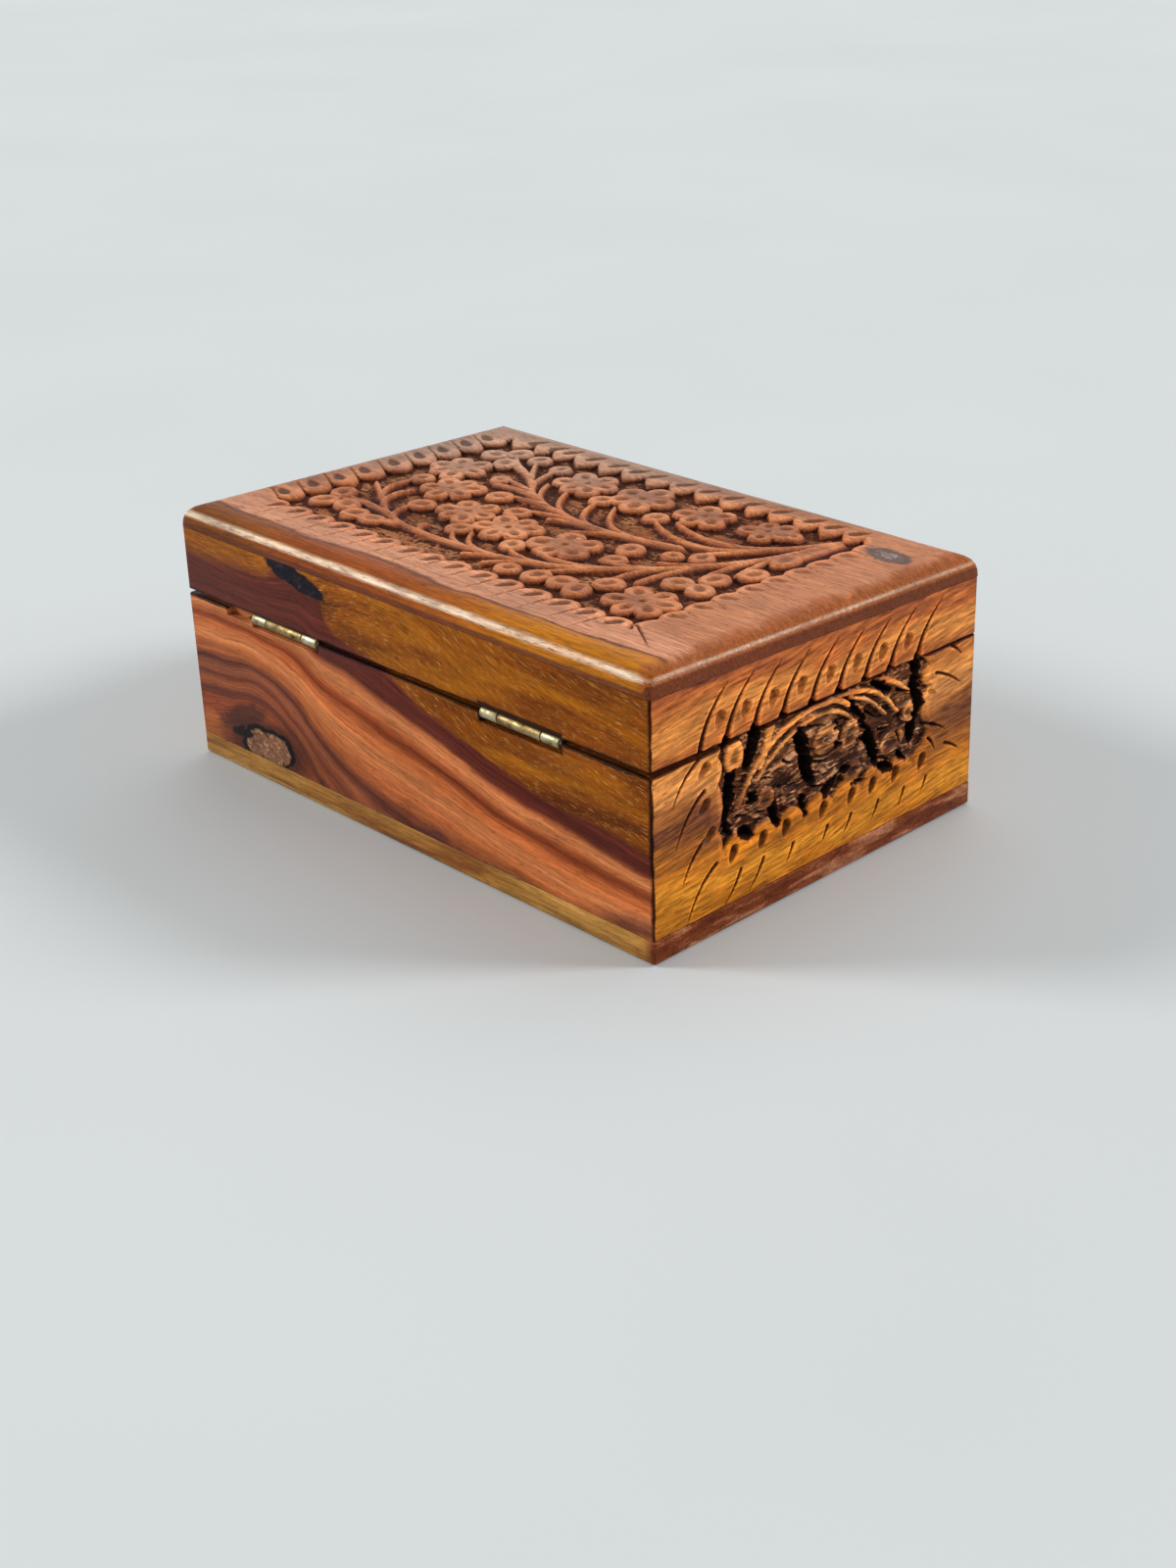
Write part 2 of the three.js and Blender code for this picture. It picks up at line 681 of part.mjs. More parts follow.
// The rails get lower towards the front, so each is cut to one slope that crosses the whole lid
function taper(rail, facing) {
  const rise = (railHeightAtBack - railHeightAtFront) / 2;
  const middle = (railHeightAtBack + railHeightAtFront) / 2;
  const side = new THREE.Shape([
    new THREE.Vector2(-boxWidth, -overcut),
    new THREE.Vector2(boxWidth, -overcut),
    new THREE.Vector2(boxWidth, middle + 2 * rise),
    new THREE.Vector2(-boxWidth, middle - 2 * rise),
  ]);
  const wedge = new THREE.ExtrudeGeometry(side, { depth: 2 * boxLength, bevelEnabled: false });
  wedge.translate(0, 0, -boxLength);
  wedge.applyMatrix4(new THREE.Matrix4().makeBasis(point(0, 1, 0), point(0, 0, 1), point(1, 0, 0)));
  wedge.rotateZ(-facings[facing].turn).translate(0, facings[facing].out, 0).rotateX(-Math.PI / 2);
  return rail.intersect(solidOf(wedge));
}

function hinge(side, body) {
  const group = new THREE.Group();
  const isBase = body === 'base';
  const plate = piece(`hinge_${side}_${body}_leaf`, isBase ? baseLeaf() : lidLeaf(), 'brass');
  group.add(plate);
  for (const [number, x] of [[1, -screwSpacing / 2], [2, screwSpacing / 2]]) {
    const fastener = piece(`hinge_${side}_${body}_screw_${number}`, screw(), 'steel');
    fastener.position.set(x, -screwFromAxis, leafThickness - barrelRadius);
    group.add(fastener);
  }
  if (isBase) group.add(piece(`hinge_${side}_pin`, pin(), 'brass'));
  return group;
}

// The base
const base = new THREE.Group();

const bottomBoard = piece('bottom_board', slab(bottomThickness, bottomEase, 2), 'sapwood');
bottomBoard.rotation.x = Math.PI;
base.add(bottomBoard);

const endLength = boxWidth;
const endShift = 1.6;
const endMotif = archedLeaves(endFieldLength / 2, endShift);
const frontQuarter = frontFieldLength / 4;
const frontMotifs = [
  archedLeaves(frontQuarter, -frontQuarter),
  archedLeaves(frontQuarter, frontQuarter),
];
base.add(stand(piece('back_wall', mortisedBackWall(), 'heartwood'), 'back', wallFoot));
base.add(stand(
  piece('front_wall', carvedWall(boxLength, frontFieldLength, 0, frontMotifs), 'heartwood'),
  'front',
  wallFoot,
));
for (const end of ['left', 'right']) {
  const wall = carvedWall(endLength, endFieldLength, endShift, [endMotif]);
  base.add(stand(piece(`${end}_end_wall`, wall, 'sapwood'), end, wallFoot));
}
for (const [side, x] of Object.entries(hingePlaces)) {
  const group = hinge(side, 'base');
  group.position.set(x, hingeY, hingeZ);
  base.add(group);
}

// The lid turns on the hinges' axis, and is shut at its small resting tilt
const lid = new THREE.Group();
lid.position.set(0, hingeY, hingeZ);
lid.rotation.x = lidTilt;
const lidBoards = new THREE.Group();
lidBoards.position.set(0, -hingeY, railSeat);
lid.add(lidBoards);

const topBoard = piece('lid_top_board', carvedTop(), 'heartwood');
topBoard.position.set(0, -boxWidth / 2, topThickness);
const topSeat = new THREE.Group();
topSeat.position.set(0, boxWidth / 2, railHeightAtBack + glueLine);
topSeat.rotation.x = lidTaper;
topSeat.add(topBoard);
lidBoards.add(topSeat);

const backRail = taper(drilledBackRail(), 'back');
const frontRail = taper(carvedRail(boxLength, frontFieldLength, 0), 'front');
lidBoards.add(stand(piece('lid_back_rail', backRail, 'sapwood'), 'back', 0));
lidBoards.add(stand(piece('lid_front_rail', frontRail, 'heartwood'), 'front', 0));
for (const end of ['left', 'right']) {
  const rail = taper(carvedRail(endLength, endFieldLength, endShift), end);
  lidBoards.add(stand(piece(`lid_${end}_rail`, rail, 'sapwood'), end, 0));
}
for (const [side, x] of Object.entries(hingePlaces)) {
  const group = hinge(side, 'lid');
  group.rotation.y = Math.PI;
  group.position.set(x, 0, 0);
  lid.add(group);
}

const group = new THREE.Group();
group.add(base, lid);

export default group;
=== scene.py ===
import math
from collections import namedtuple

import bmesh
import bpy
import numpy as np
from mathutils import Matrix, Vector


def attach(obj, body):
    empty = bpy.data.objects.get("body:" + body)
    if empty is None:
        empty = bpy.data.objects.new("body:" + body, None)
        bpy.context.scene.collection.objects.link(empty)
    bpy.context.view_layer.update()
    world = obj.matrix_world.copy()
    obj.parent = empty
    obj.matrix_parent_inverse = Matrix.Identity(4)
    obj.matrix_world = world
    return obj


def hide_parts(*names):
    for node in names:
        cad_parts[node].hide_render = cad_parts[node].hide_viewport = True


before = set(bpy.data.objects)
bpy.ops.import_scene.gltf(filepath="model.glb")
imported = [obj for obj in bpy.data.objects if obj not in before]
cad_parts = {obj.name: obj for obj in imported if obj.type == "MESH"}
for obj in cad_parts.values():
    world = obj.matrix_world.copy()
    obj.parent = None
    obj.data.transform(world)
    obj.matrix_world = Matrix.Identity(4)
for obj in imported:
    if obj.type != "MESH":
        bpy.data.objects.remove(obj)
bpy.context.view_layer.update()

# Sizes are in millimetres and become metres in a piece's last step.
MM = 0.001

LENGTH = 152.0
WIDTH = 100.0
BOTTOM_THICKNESS = 5.5
WALL_HEIGHT = 35.2
WALL_THICKNESS = 8.0
RAIL_AT_BACK = 14.9
RAIL_AT_FRONT = 12.8
TOP_THICKNESS = 5.3
TOP_ROUND = 5.0
CORNER_EASE = 0.9
ARRIS = 0.3
GLUE_LINE = 0.15
GAP_AT_BACK = 1.2
GAP_AT_FRONT = 0.3
TOP_GROUND = 1.7
WALL_GROUND = 2.5

# How far apart the grid lines of a carved board are, over its carving and beside it
TOP_STEP = 0.39
END_STEP = 0.26
FRONT_STEP = 0.34
PLAIN_STEP = 0.8
# How far a wall's sawn face lies inside its plane, so that its unevenness stays within it
SAWN_BACK = 0.08

HINGE_SPACING = 78.0
HINGE_LENGTH = 23.3
HINGE_INSET = 0.8
BARREL = 1.25
OUTER_KNUCKLE = 5.0
KNUCKLE_GAP = 0.3
LEAF_THICKNESS = 0.8
LEAF_REACH = 6.0
SEAT_GAP = 0.15
PIN_RADIUS = 0.55
PIN_OVERHANG = 0.2
SCREW_SPACING = 15.0
SCREW_FROM_AXIS = 3.6
SCREW_HEAD_RADIUS = 1.6
SCREW_HEAD_HEIGHT = 0.75
SCREW_SHANK_RADIUS = 0.9
SCREW_LENGTH = 6.5

WALL_FOOT = BOTTOM_THICKNESS + GLUE_LINE
BASE_TOP = WALL_FOOT + WALL_HEIGHT
RAIL_SEAT = BARREL + SEAT_GAP
HINGE_Y = WIDTH / 2 - HINGE_INSET
HINGE_Z = BASE_TOP + GAP_AT_BACK - RAIL_SEAT
LID_TILT = math.atan((GAP_AT_BACK - GAP_AT_FRONT) / WIDTH)
LID_TAPER = math.atan((RAIL_AT_BACK - RAIL_AT_FRONT) / WIDTH)


# Places: each board is made in its own frame, with u along it, v up it and w out of its face

def shift(x, y, z):
    return Matrix.Translation((x, y, z))


def turn(degrees, axis):
    return Matrix.Rotation(math.radians(degrees), 4, axis)


HINGE_LINE = shift(0, HINGE_Y, HINGE_Z)
LID_HINGE_LINE = HINGE_LINE @ Matrix.Rotation(LID_TILT, 4, "X")
LID = LID_HINGE_LINE @ shift(0, -HINGE_Y, RAIL_SEAT)
TOP = (LID @ shift(0, WIDTH / 2, RAIL_AT_BACK + GLUE_LINE) @ Matrix.Rotation(LID_TAPER, 4, "X")
       @ shift(0, -WIDTH / 2, TOP_THICKNESS))

# How far a side is turned, how far out it stands, its length, its carved span and the grid step there
Side = namedtuple("Side", "degrees out length carved step")
FRONT = Side(0, WIDTH / 2, LENGTH, (-64, 64), FRONT_STEP)
LEFT = Side(-90, LENGTH / 2, WIDTH, (-45, 45), END_STEP)
RIGHT = LEFT._replace(degrees=90)


def stand(side, foot):
    return turn(side.degrees, "Z") @ shift(0, -side.out, foot) @ turn(90, "X")


def linear(hex_code):
    """An sRGB hex colour as the linear RGBA that a shader socket takes"""
    channels = [int(hex_code[i:i + 2], 16) / 255 for i in (1, 3, 5)]
    return [c / 12.92 if c <= 0.04045 else ((c + 0.055) / 1.055) ** 2.4 for c in channels] + [1]


# Smooth steps, soft noise and lines, for the carving

def smooth(low, high, value):
    share = np.clip((value - low) / (high - low), 0, 1)
    return share * share * (3 - 2 * share)


def rough(u, v, grain_u, grain_v, seed):
    """Seeded soft noise from -1 to 1, with lumps of about grain_u by grain_v millimetres"""
    lattice = np.random.default_rng(seed).uniform(-1, 1, (64, 64))
    x, y = u / grain_u + 31.7, v / grain_v + 17.3
    column, row = np.floor(x).astype(int), np.floor(y).astype(int)
    across, up = smooth(0, 1, x - column), smooth(0, 1, y - row)
    value = [[lattice[(row + j) % 64, (column + i) % 64] for i in (0, 1)] for j in (0, 1)]
    low = value[0][0] + (value[0][1] - value[0][0]) * across
    high = value[1][0] + (value[1][1] - value[1][0]) * across
    return low + (high - low) * up


def curve_through(places, count):
    """Evenly shared points on a smooth curve through the given places"""
    places = np.asarray(places, float)
    ends = np.vstack([2 * places[0] - places[1], places, 2 * places[-1] - places[-2]])
    points = []
    for share in np.linspace(0, len(places) - 1, count):
        i = min(int(share), len(places) - 2)
        t = share - i
        a, b, c, d = ends[i:i + 4]
        points.append(0.5 * (2 * b + (c - a) * t + (2 * a - 5 * b + 4 * c - d) * t ** 2
                             + (3 * b - a - 3 * c + d) * t ** 3))
    return np.array(points)


def bow(start, control, end):
    """Twelve points on a curve that leaves its start towards the control point"""
    start, control, end = (np.asarray(p, float) for p in (start, control, end))
    t = np.linspace(0, 1, 12)[:, None]
    return start * (1 - t) ** 2 + control * 2 * t * (1 - t) + end * t ** 2


def beside(line, u, v):
    """How far each place is from a line of points, and its share of the way along it"""
    run = line[1:] - line[:-1]
    length = np.hypot(*run.T)
    du, dv = u[..., None] - line[:-1, 0], v[..., None] - line[:-1, 1]
    along = np.clip((du * run[:, 0] + dv * run[:, 1]) / length ** 2, 0, 1)
    away = np.hypot(du - along * run[:, 0], dv - along * run[:, 1])
    nearest = away.argmin(-1)[..., None]
    travelled = np.concatenate(([0], np.cumsum(length)))
    share = (travelled[:-1] + along * length) / travelled[-1]
    return (np.take_along_axis(away, nearest, -1)[..., 0],
            np.take_along_axis(share, nearest, -1)[..., 0])


def along_and_across(x, y, angle):
    """The same places, measured along a direction and across it"""
    c, s = math.cos(angle), math.sin(angle)
    return x * c + y * s, y * c - x * s


# Over how much height standing wood melts into what it meets
MELT = 0.2
# How dark a hollow is painted, for old polish in it and for the shade it holds: 1 is near black
DISH_STAIN_AND_SHADE = 0.38
HEART_STAIN_AND_SHADE = 0.65
SCOOP_STAIN_AND_SHADE = 0.42


class Face:
    """The outer face of a board as a grid of heights w, which the carving tools raise and cut. The
    grid also keeps where it is painted dark, for staining, dark joints and the shade in cuts,
    hollows and the open seam, where wood is torn out and where the sunk ground is."""

    def __init__(self, us, vs, ground):
        self.us, self.vs = us, vs
        self.u, self.v = np.meshgrid(us, vs)
        self.w = np.zeros_like(self.u)
        self.worn = np.zeros_like(self.u)
        self.torn = np.zeros_like(self.u)
        self.ground = np.zeros_like(self.u)
        self.floor = -ground

    def near(self, places, margin):
        places = np.atleast_2d(places)
        low, high = places.min(0) - margin, places.max(0) + margin
        where = (slice(*np.searchsorted(self.vs, (low[1], high[1]))),
                 slice(*np.searchsorted(self.us, (low[0], high[0]))))
        return where, self.u[where], self.v[where]

    def raise_to(self, where, height):
        """Wood left standing, which melts into what it meets"""
        old = self.w[where]
        gap = np.clip(0.5 + (height - old) / MELT, 0, 1)
        self.w[where] = old + (height - old) * gap + MELT / 2 * gap * (1 - gap)

    def darken(self, where, stain_and_shade):
        self.worn[where] = np.maximum(self.worn[where], stain_and_shade)

    def rib(self, line, wide, narrow, crest, tip_crest=None, web=0.0):
        """A blade left standing along a line: its sides fall steeply from a narrow crest and then
        level out in a trough, which is long and shallow at the root"""
        line = np.asarray(line, float)
        where, u, v = self.near(line, wide + web + 2.2)
        away, share = beside(line, u, v)
        half = wide + (narrow - wide) * share
        top = crest + ((crest if tip_crest is None else tip_crest) - crest) * share
        side = np.clip((away - 0.62 * half) / (0.9 + 0.3 * half + web * (1 - share)), 0, 1)
        fall = 1 - (1 - side) ** 2.3
        crown = 0.07 * np.clip(away / half, 0, 1.2) ** 2
        self.raise_to(where, top - crown - (top - self.floor) * fall)

    def pad(self, centre, radius, crest=-0.25, dish=0.5, turned=0.0, long=1.0):
        """A bud: a round pad with steep sides and a wide soft dish inside its rim"""
        where, u, v = self.near([centre], radius * long + 1.5)
        x, y = along_and_across(u - centre[0], v - centre[1], turned)
        x = x / long
        away = np.hypot(x, y) / radius
        hollow = smooth(1, 0.3, np.hypot(x + 0.06 * radius, y * 1.25) / (0.7 * radius))
        top = crest - 0.18 * np.clip(away, 0, 1.1) ** 5 - dish * hollow
        side = smooth(0.88, 0.96 + 0.45 / radius, away)
        self.raise_to(where, top - (top - self.floor) * side)
        # The dish is painted darker, for staining and for the shade it holds
        self.darken(where, DISH_STAIN_AND_SHADE * hollow * (1 - side))

    def flower(self, centre, radius, petals, turned, heart, crest=-0.1):
        """A flat flower: blunt petals parted by notches in its outline, each with a soft oval dish"""
        where, u, v = self.near([centre], radius + 1.5)
        x, y = u - centre[0], v - centre[1]
        away, bearing = np.hypot(x, y), np.arctan2(y, x)
        nearest, outline, dishes = np.full_like(u, 9.0), np.full_like(u, radius), np.zeros_like(u)
        for k in range(petals):
            angle = turned + 2 * math.pi * k / petals + 0.14 * math.sin(5.1 * k + 7 * turned)
            reach = radius * (1.02 + 0.07 * math.sin(3.7 * k + 5 * turned))
            off = np.abs((bearing - angle + math.pi) % (2 * math.pi) - math.pi) / (math.pi / petals)
            blunt = reach * (1 - 0.32 * np.clip(off, 0, 1.2) ** 2.3)
            outline = np.where(off < nearest, blunt, outline)
            nearest = np.minimum(nearest, off)
            out, side = along_and_across(x, y, angle)
            dish = np.hypot((out - 0.62 * reach) / (0.26 * reach),
                            side / ((0.17 if petals > 5 else 0.2) * reach))
            dishes = np.maximum(dishes, smooth(1.05, 0.4, dish))
        fall = smooth(-0.15, 0.35, away - outline)
        crease = smooth(0.75, 1, nearest) * smooth(0.55, 0.85, away / outline)
        hole = smooth(1, 0.35, away / (0.14 * radius))
        body = crest - 0.06 * smooth(-0.9, 0, away - outline) - 0.14 * crease
        body = body - 0.55 * dishes - heart * hole
        self.w[where] = np.maximum(self.w[where], body - (body - self.floor) * fall)
        # The dishes are painted darker for staining and shade, and the heart's hole for its shade
        self.darken(where, np.maximum(DISH_STAIN_AND_SHADE * dishes, HEART_STAIN_AND_SHADE * hole) * (1 - fall))

    def scoop(self, centre, angle, length, width, depth, stain_and_shade=SCOOP_STAIN_AND_SHADE):
        """A drop-shaped gouge mark, widest and deepest near its start"""
        where, u, v = self.near([centre], length)
        along, side = along_and_across(u - centre[0], v - centre[1], angle)
        along = along / (length / 2)
        half = width / 2 * (1 - 0.4 * along)
        inside = np.clip(1 - np.abs(along) ** 2.2 - (side / half) ** 2, 0, 1)
        self.w[where] -= depth * smooth(0, 0.9, inside) * (1 - 0.3 * along)
        # The gouge is painted darker, for staining and the shade in it
        self.darken(where, stain_and_shade * smooth(0, 0.55, inside))

    def pit(self, line, half, depth, seed):
        """A hole torn down along a line, with ragged upright sides"""
        line = np.asarray(line, float)
        where, u, v = self.near(line, half + 1.5)
        torn = 0.5 * rough(u, v, 2.6, 0.8, seed) + 0.32 * rough(u, v, 0.9, 0.5, seed + 1)
        away, share = beside(line, u + torn, v + 0.3 * torn)
        away = away + 0.3 * rough(u, v, 3.0, 1.7, seed + 2)
        away = away + 0.35 * half * np.abs(2 * share - 1) ** 3
        gone = smooth(half + 0.3, half - 0.15, away)
        self.w[where] = self.w[where] * (1 - gone) + np.minimum(self.w[where], -depth) * gone
        # Torn wood is painted near black in the material, for the shadow down in the hole
        self.torn[where] = np.maximum(self.torn[where], smooth(half + 0.75, half + 0.4, away))

    def slit(self, start, control, end, width, depth, stain_and_shade=1.0):
        """A knife cut, which gets finer and shallower to its end"""
        line = bow(start, control, end)
        where, u, v = self.near(line, 1.5)
        away, share = beside(line, u, v)
        half = width / 2 * (1.15 - 0.75 * share)
        fade = 1 - smooth(0.8, 1, share) * 0.6
        groove = np.clip(1 - away / half, 0, 1)
        lip = 0.09 * np.exp(-((away - half * 1.5) / 0.3) ** 2)
        self.w[where] += lip * fade - depth * fade * groove
        # The groove is painted dark, for staining and the shade in it
        self.darken(where, stain_and_shade * smooth(0, 0.4, groove) * fade)

    def nick(self, across):
        """A small notch in the lower edge, where a knife cut starts"""
        where, u, v = self.near([(across, 0)], 3)
        notch = 1 - smooth(0.3, 1.0, np.hypot((u - across) / 1.5, v / 1.9))
        self.w[where] -= 1.9 * notch
        # The notch is painted near black in the material, for the shadow in it
        self.torn[where] = np.maximum(self.torn[where], smooth(0, 0.4, notch))

    def sink_field(self, inside):
        """The sunk field, from how far inside its edge each place is, with thumbed edges round it"""
        sunk = smooth(-0.25, 0.5, inside)
        self.w -= 0.4 * smooth(-1.5, -0.1, inside) * (1 - sunk)
        self.w += (self.floor - self.w) * sunk
        self.ground = sunk

    def tool_marks(self, seed, depth=0.35):
        """Rough ground: short overlapping stabs, coarser lumps and torn fibres along the grain"""
        stabs = np.abs(rough(self.u + 0.4 * self.v, self.v, 0.9, 0.7, seed))
        lumps = rough(self.u, self.v, 3.1, 2.3, seed + 1)
        fibres = rough(self.u, self.v, 3.4, 0.5, seed + 2)
        low = smooth(0.5 * self.floor, 0.9 * self.floor, self.w) * self.ground
        self.w += low * (0.22 * lumps + depth * (0.5 - stabs) + 0.14 * fibres)

    def keep_inside(self):
        """No wood stands above the sawn face"""
        self.w = np.minimum(self.w, 0)


def fractions_between(notches, along):
    """0 at a notch, 1 at the next, for places along a row"""
    notches = np.sort(np.asarray(notches, float))
    return np.interp(along, notches, np.arange(len(notches))) % 1.0


def tongue_edge(notches, along, tip, power):
    """How far out the field reaches along a row of tongues: most at the notches between them"""
    return tip * np.abs(2 * fractions_between(notches, along) - 1) ** power


# Where a board's grid lines run: fine over carving, closer still round its edges

ARC_STEPS = 6


def round_edge(radius, span):
    """Distances out from where a rounded edge starts, to its end at the given angle in degrees"""
    return radius * np.sin(np.radians(np.linspace(0, span, ARC_STEPS + 1)[1:]))


def stations(low, high, fine, step, arc):
    """Grid lines from low to high: step apart in the fine span, wider beside it, arcs at the ends"""
    inner_low, inner_high = low + arc[-1], high - arc[-1]
    fine_low, fine_high = max(fine[0], inner_low), min(fine[1], inner_high)
    lines = [inner_low - arc, inner_high + arc]
    for start, end, gap in ((inner_low, fine_low, PLAIN_STEP), (fine_low, fine_high, step),
                            (fine_high, inner_high, PLAIN_STEP)):
        if end - start > 1e-6:
            lines.append(np.linspace(start, end, math.ceil((end - start) / gap) + 1))
    return np.unique(np.round(np.concatenate(lines), 6))


def rounded(out, radius):
    """How far a rounded edge has dropped at a distance out from where it starts"""
    return radius - np.sqrt(np.clip(radius ** 2 - np.clip(out, 0, radius) ** 2, 0, None))


def blurred(heights, passes, own):
    """Heights evened out: in each pass a place is shared with its four neighbours, and own counts how
    much it keeps of itself"""
    for _ in range(passes):
        padded = np.pad(heights, 1, mode="edge")
        heights = (padded[:-2, 1:-1] + padded[2:, 1:-1] + padded[1:-1, :-2] + padded[1:-1, 2:]
                   + own * padded[1:-1, 1:-1]) / (4 + own)
    return heights


def board_mesh(name, face, outer, back, place):
    """A closed board: a grid for its face, its edge extruded back from the rim, and its back. The
    outer and back places are u, v and w for each crossing of the grid."""
    columns, rows = len(face.us), len(face.vs)
    bm = bmesh.new()
    bmesh.ops.create_grid(bm, x_segments=columns - 1, y_segments=rows - 1, size=0.5)
    rim = [edge for edge in bm.edges if edge.is_boundary]
    grown = bmesh.ops.extrude_edge_only(bm, edges=rim)["geom"]
    back_rim = [e for e in grown if isinstance(e, bmesh.types.BMEdge) and e.is_boundary]
    bmesh.ops.contextual_create(bm, geom=back_rim)
    bmesh.ops.recalc_face_normals(bm, faces=bm.faces)
    for polygon in bm.faces:
        polygon.smooth = True
    for edge in back_rim:
        edge.smooth = False
    mesh = bpy.data.meshes.new(name)
    bm.to_mesh(mesh)
    bm.free()

    places = np.empty(len(mesh.vertices) * 3)
    mesh.vertices.foreach_get("co", places)
    places = places.reshape(-1, 3)
    column = np.rint((places[:, 0] + 0.5) * (columns - 1)).astype(int)
    row = np.rint((places[:, 1] + 0.5) * (rows - 1)).astype(int)
    front = np.arange(len(places)) < columns * rows
    own = np.stack([np.where(front, a[row, column], b[row, column]) for a, b in zip(outer, back)]
                   + [np.ones(len(places))])
    world = (np.array(place) @ own)[:3].T * MM
    mesh.vertices.foreach_set("co", world.ravel())

    # The materials read how deep a place lies and how hollow it is, which they paint with
    # staining, painted shade and a painted highlight on crests, and where cuts, dishes, joints and
    # the seam are painted dark, for staining and for the shade in them.
    hollow = (blurred(face.w, 6, 2) - face.w) * 0.9 + (blurred(face.w, 40, 0) - face.w) * 0.62
    depth = face.w / face.floor
    hollow = np.where(hollow > 0, hollow * (0.25 + 0.75 * smooth(0.4, 0.7, depth)), hollow)
    for key, layer, behind in (
            ("depth", np.clip(np.maximum(depth, 1.7 * face.torn), 0, 2), 0.0),
            ("hollow", np.clip(0.5 + hollow, 0, 1), 0.5),
            ("cut", face.worn, 0.0), ("ground", face.ground, 0.0)):
        attribute = mesh.attributes.new(key, "FLOAT", "POINT")
        attribute.data.foreach_set("value", np.where(front, layer[row, column], behind))
    mesh.update()
    piece = bpy.data.objects.new(name, mesh)
    bpy.context.scene.collection.objects.link(piece)
    return piece


TOP_CARVED_U, TOP_CARVED_V = (-67, 71), (-46, 43.5)


def top_board():
    """The lid's board, rounded over from its face, with mitred creases where the edges meet"""
    arc = round_edge(TOP_ROUND, 90)
    face = Face(stations(-LENGTH / 2, LENGTH / 2, TOP_CARVED_U, TOP_STEP, arc),
                stations(-WIDTH / 2, WIDTH / 2, TOP_CARVED_V, TOP_STEP, arc), TOP_GROUND)
    carve_top(face)
    face.keep_inside()
    out_u = np.clip(np.abs(face.u) - (LENGTH / 2 - TOP_ROUND), 0, TOP_ROUND)
    out_v = np.clip(np.abs(face.v) - (WIDTH / 2 - TOP_ROUND), 0, TOP_ROUND)
    drop = np.maximum(rounded(out_u, TOP_ROUND), rounded(out_v, TOP_ROUND))
    u, v = ease_corners(face.u, face.v)
    return board_mesh("lid_top", face, (u, v, face.w - drop),
                      (u, v, np.full_like(u, -TOP_THICKNESS)), TOP)


def ease_corners(u, v):
    """The footprint's corners are rounded: a square corner is drawn in to a quarter disc"""
    x = np.clip(np.abs(u) - (LENGTH / 2 - CORNER_EASE), 0, None)
    y = np.clip(np.abs(v) - (WIDTH / 2 - CORNER_EASE), 0, None)
    pull = np.where(x * y > 0, np.maximum(x, y) / np.maximum(np.hypot(x, y), 1e-9), 1)
    return (np.sign(u) * (np.abs(u) - x + x * pull), np.sign(v) * (np.abs(v) - y + y * pull))


def mitred_board(name, side, on_lid, height, carve, seed, slope):
    """A wall or rail: mitred ends, eased upright corners and arrises; slope lowers one end"""
    half = side.length / 2 - GLUE_LINE * math.sqrt(0.5)
    corner = round_edge(CORNER_EASE, 45)
    arris = round_edge(ARRIS, 80)
    end = half - CORNER_EASE + corner[-1]
    face = Face(stations(-end, end, side.carved, side.step, corner),
                stations(0, height, (0, height), side.step, arris), WALL_GROUND)
    u, v = face.u, face.v
    face.w += 0.05 * rough(u, v, 19, 11, seed) + 0.02 * rough(u, v, 5, 3, seed + 1)
    face.w -= SAWN_BACK
    carve(face)
    face.keep_inside()
    # The mitred ends are painted dark as joints; along the open seam the edge gets painted shade
    ragged = 0.2 * rough(u, v, 3, 2, seed + 2)
    face.worn = np.maximum(face.worn, smooth(end - 0.5, end - 0.1, np.abs(u) + ragged))
    from_seam = v if on_lid else height - v
    face.worn = np.maximum(face.worn, smooth(0.45, 0.15, from_seam + ragged))
    drop = rounded(np.abs(u) - (half - CORNER_EASE), CORNER_EASE)
    drop = drop + rounded(ARRIS - v, ARRIS) + rounded(v - (height - ARRIS), ARRIS)
    back_u = u * (half - WALL_THICKNESS) / end
    place = (LID if on_lid else Matrix()) @ stand(side, 0 if on_lid else WALL_FOOT)
    return board_mesh(name, face, (u, v * (1 + slope * u / height), face.w - drop),
                      (back_u, v * (1 + slope * back_u / height), np.full_like(u, -WALL_THICKNESS)),
                      place)


# The carving of the top: three fronds spring from one corner and sweep over a field of flowers

TOP_LEFT, TOP_RIGHT, TOP_NEAR, TOP_FAR = -53.8, 61.3, 30.7, -36.0
BACK_NOTCHES = [-55, -47, -40, -31.8, -23, -15, -6.8, 2.2, 9, 16.8, 24.5, 32.8, 40.2, 48.2, 57, 65]
FRONT_NOTCHES = [-60, -53, -47, -40, -32.5, -25, -18, -10, -2, 6, 14, 22, 30, 38.5, 46, 52.5, 61, 68]
RIGHT_NOTCHES = [-40, -32, -24.8, -17.2, -9.5, -1, 7.3, 15.1, 23.2, 30.5, 38]
LEFT_NOTCHES = [-39, -32, -24.5, -17, -10, -3, 4.5, 12, 20, 27, 34]

FLOWERS = [  # across, up, radius, petals, turned, how deep its heart is
    (20.8, -26.8, 8.0, 6, 0.3, 0.35), (2.9, -27.4, 8.3, 5, 0.85, 0.4),
    (-16.2, -27.9, 7.2, 5, 0.2, 0.5), (-33.7, -29.5, 6.6, 5, 0.5, 0.6),
    (52.3, -14.5, 7.9, 6, 0.1, 0.35), (40.9, -2.2, 7.7, 6, 0.6, 0.35),
    (24.7, 6.8, 7.6, 6, 0.2, 0.6), (9.6, 8.4, 8.0, 6, 0.5, 1.3),
    (-8.4, 7.9, 8.3, 5, 0.25, 0.7), (-45.9, 21.6, 8.2, 6, 0.4, 0.5),
]
TREFOILS = [
    ((-47.0, 1.5), (-42.9, 8.3), (-49.3, 8.4)), ((-33.0, 18.6), (-25.2, 24.4), (-30.9, 25.8)),
    ((57.2, 17.0), (55.8, 23.9), (49.1, 22.4)), ((51.0, -32.8), (55.2, -28.3), (47.6, -25.0)),
]
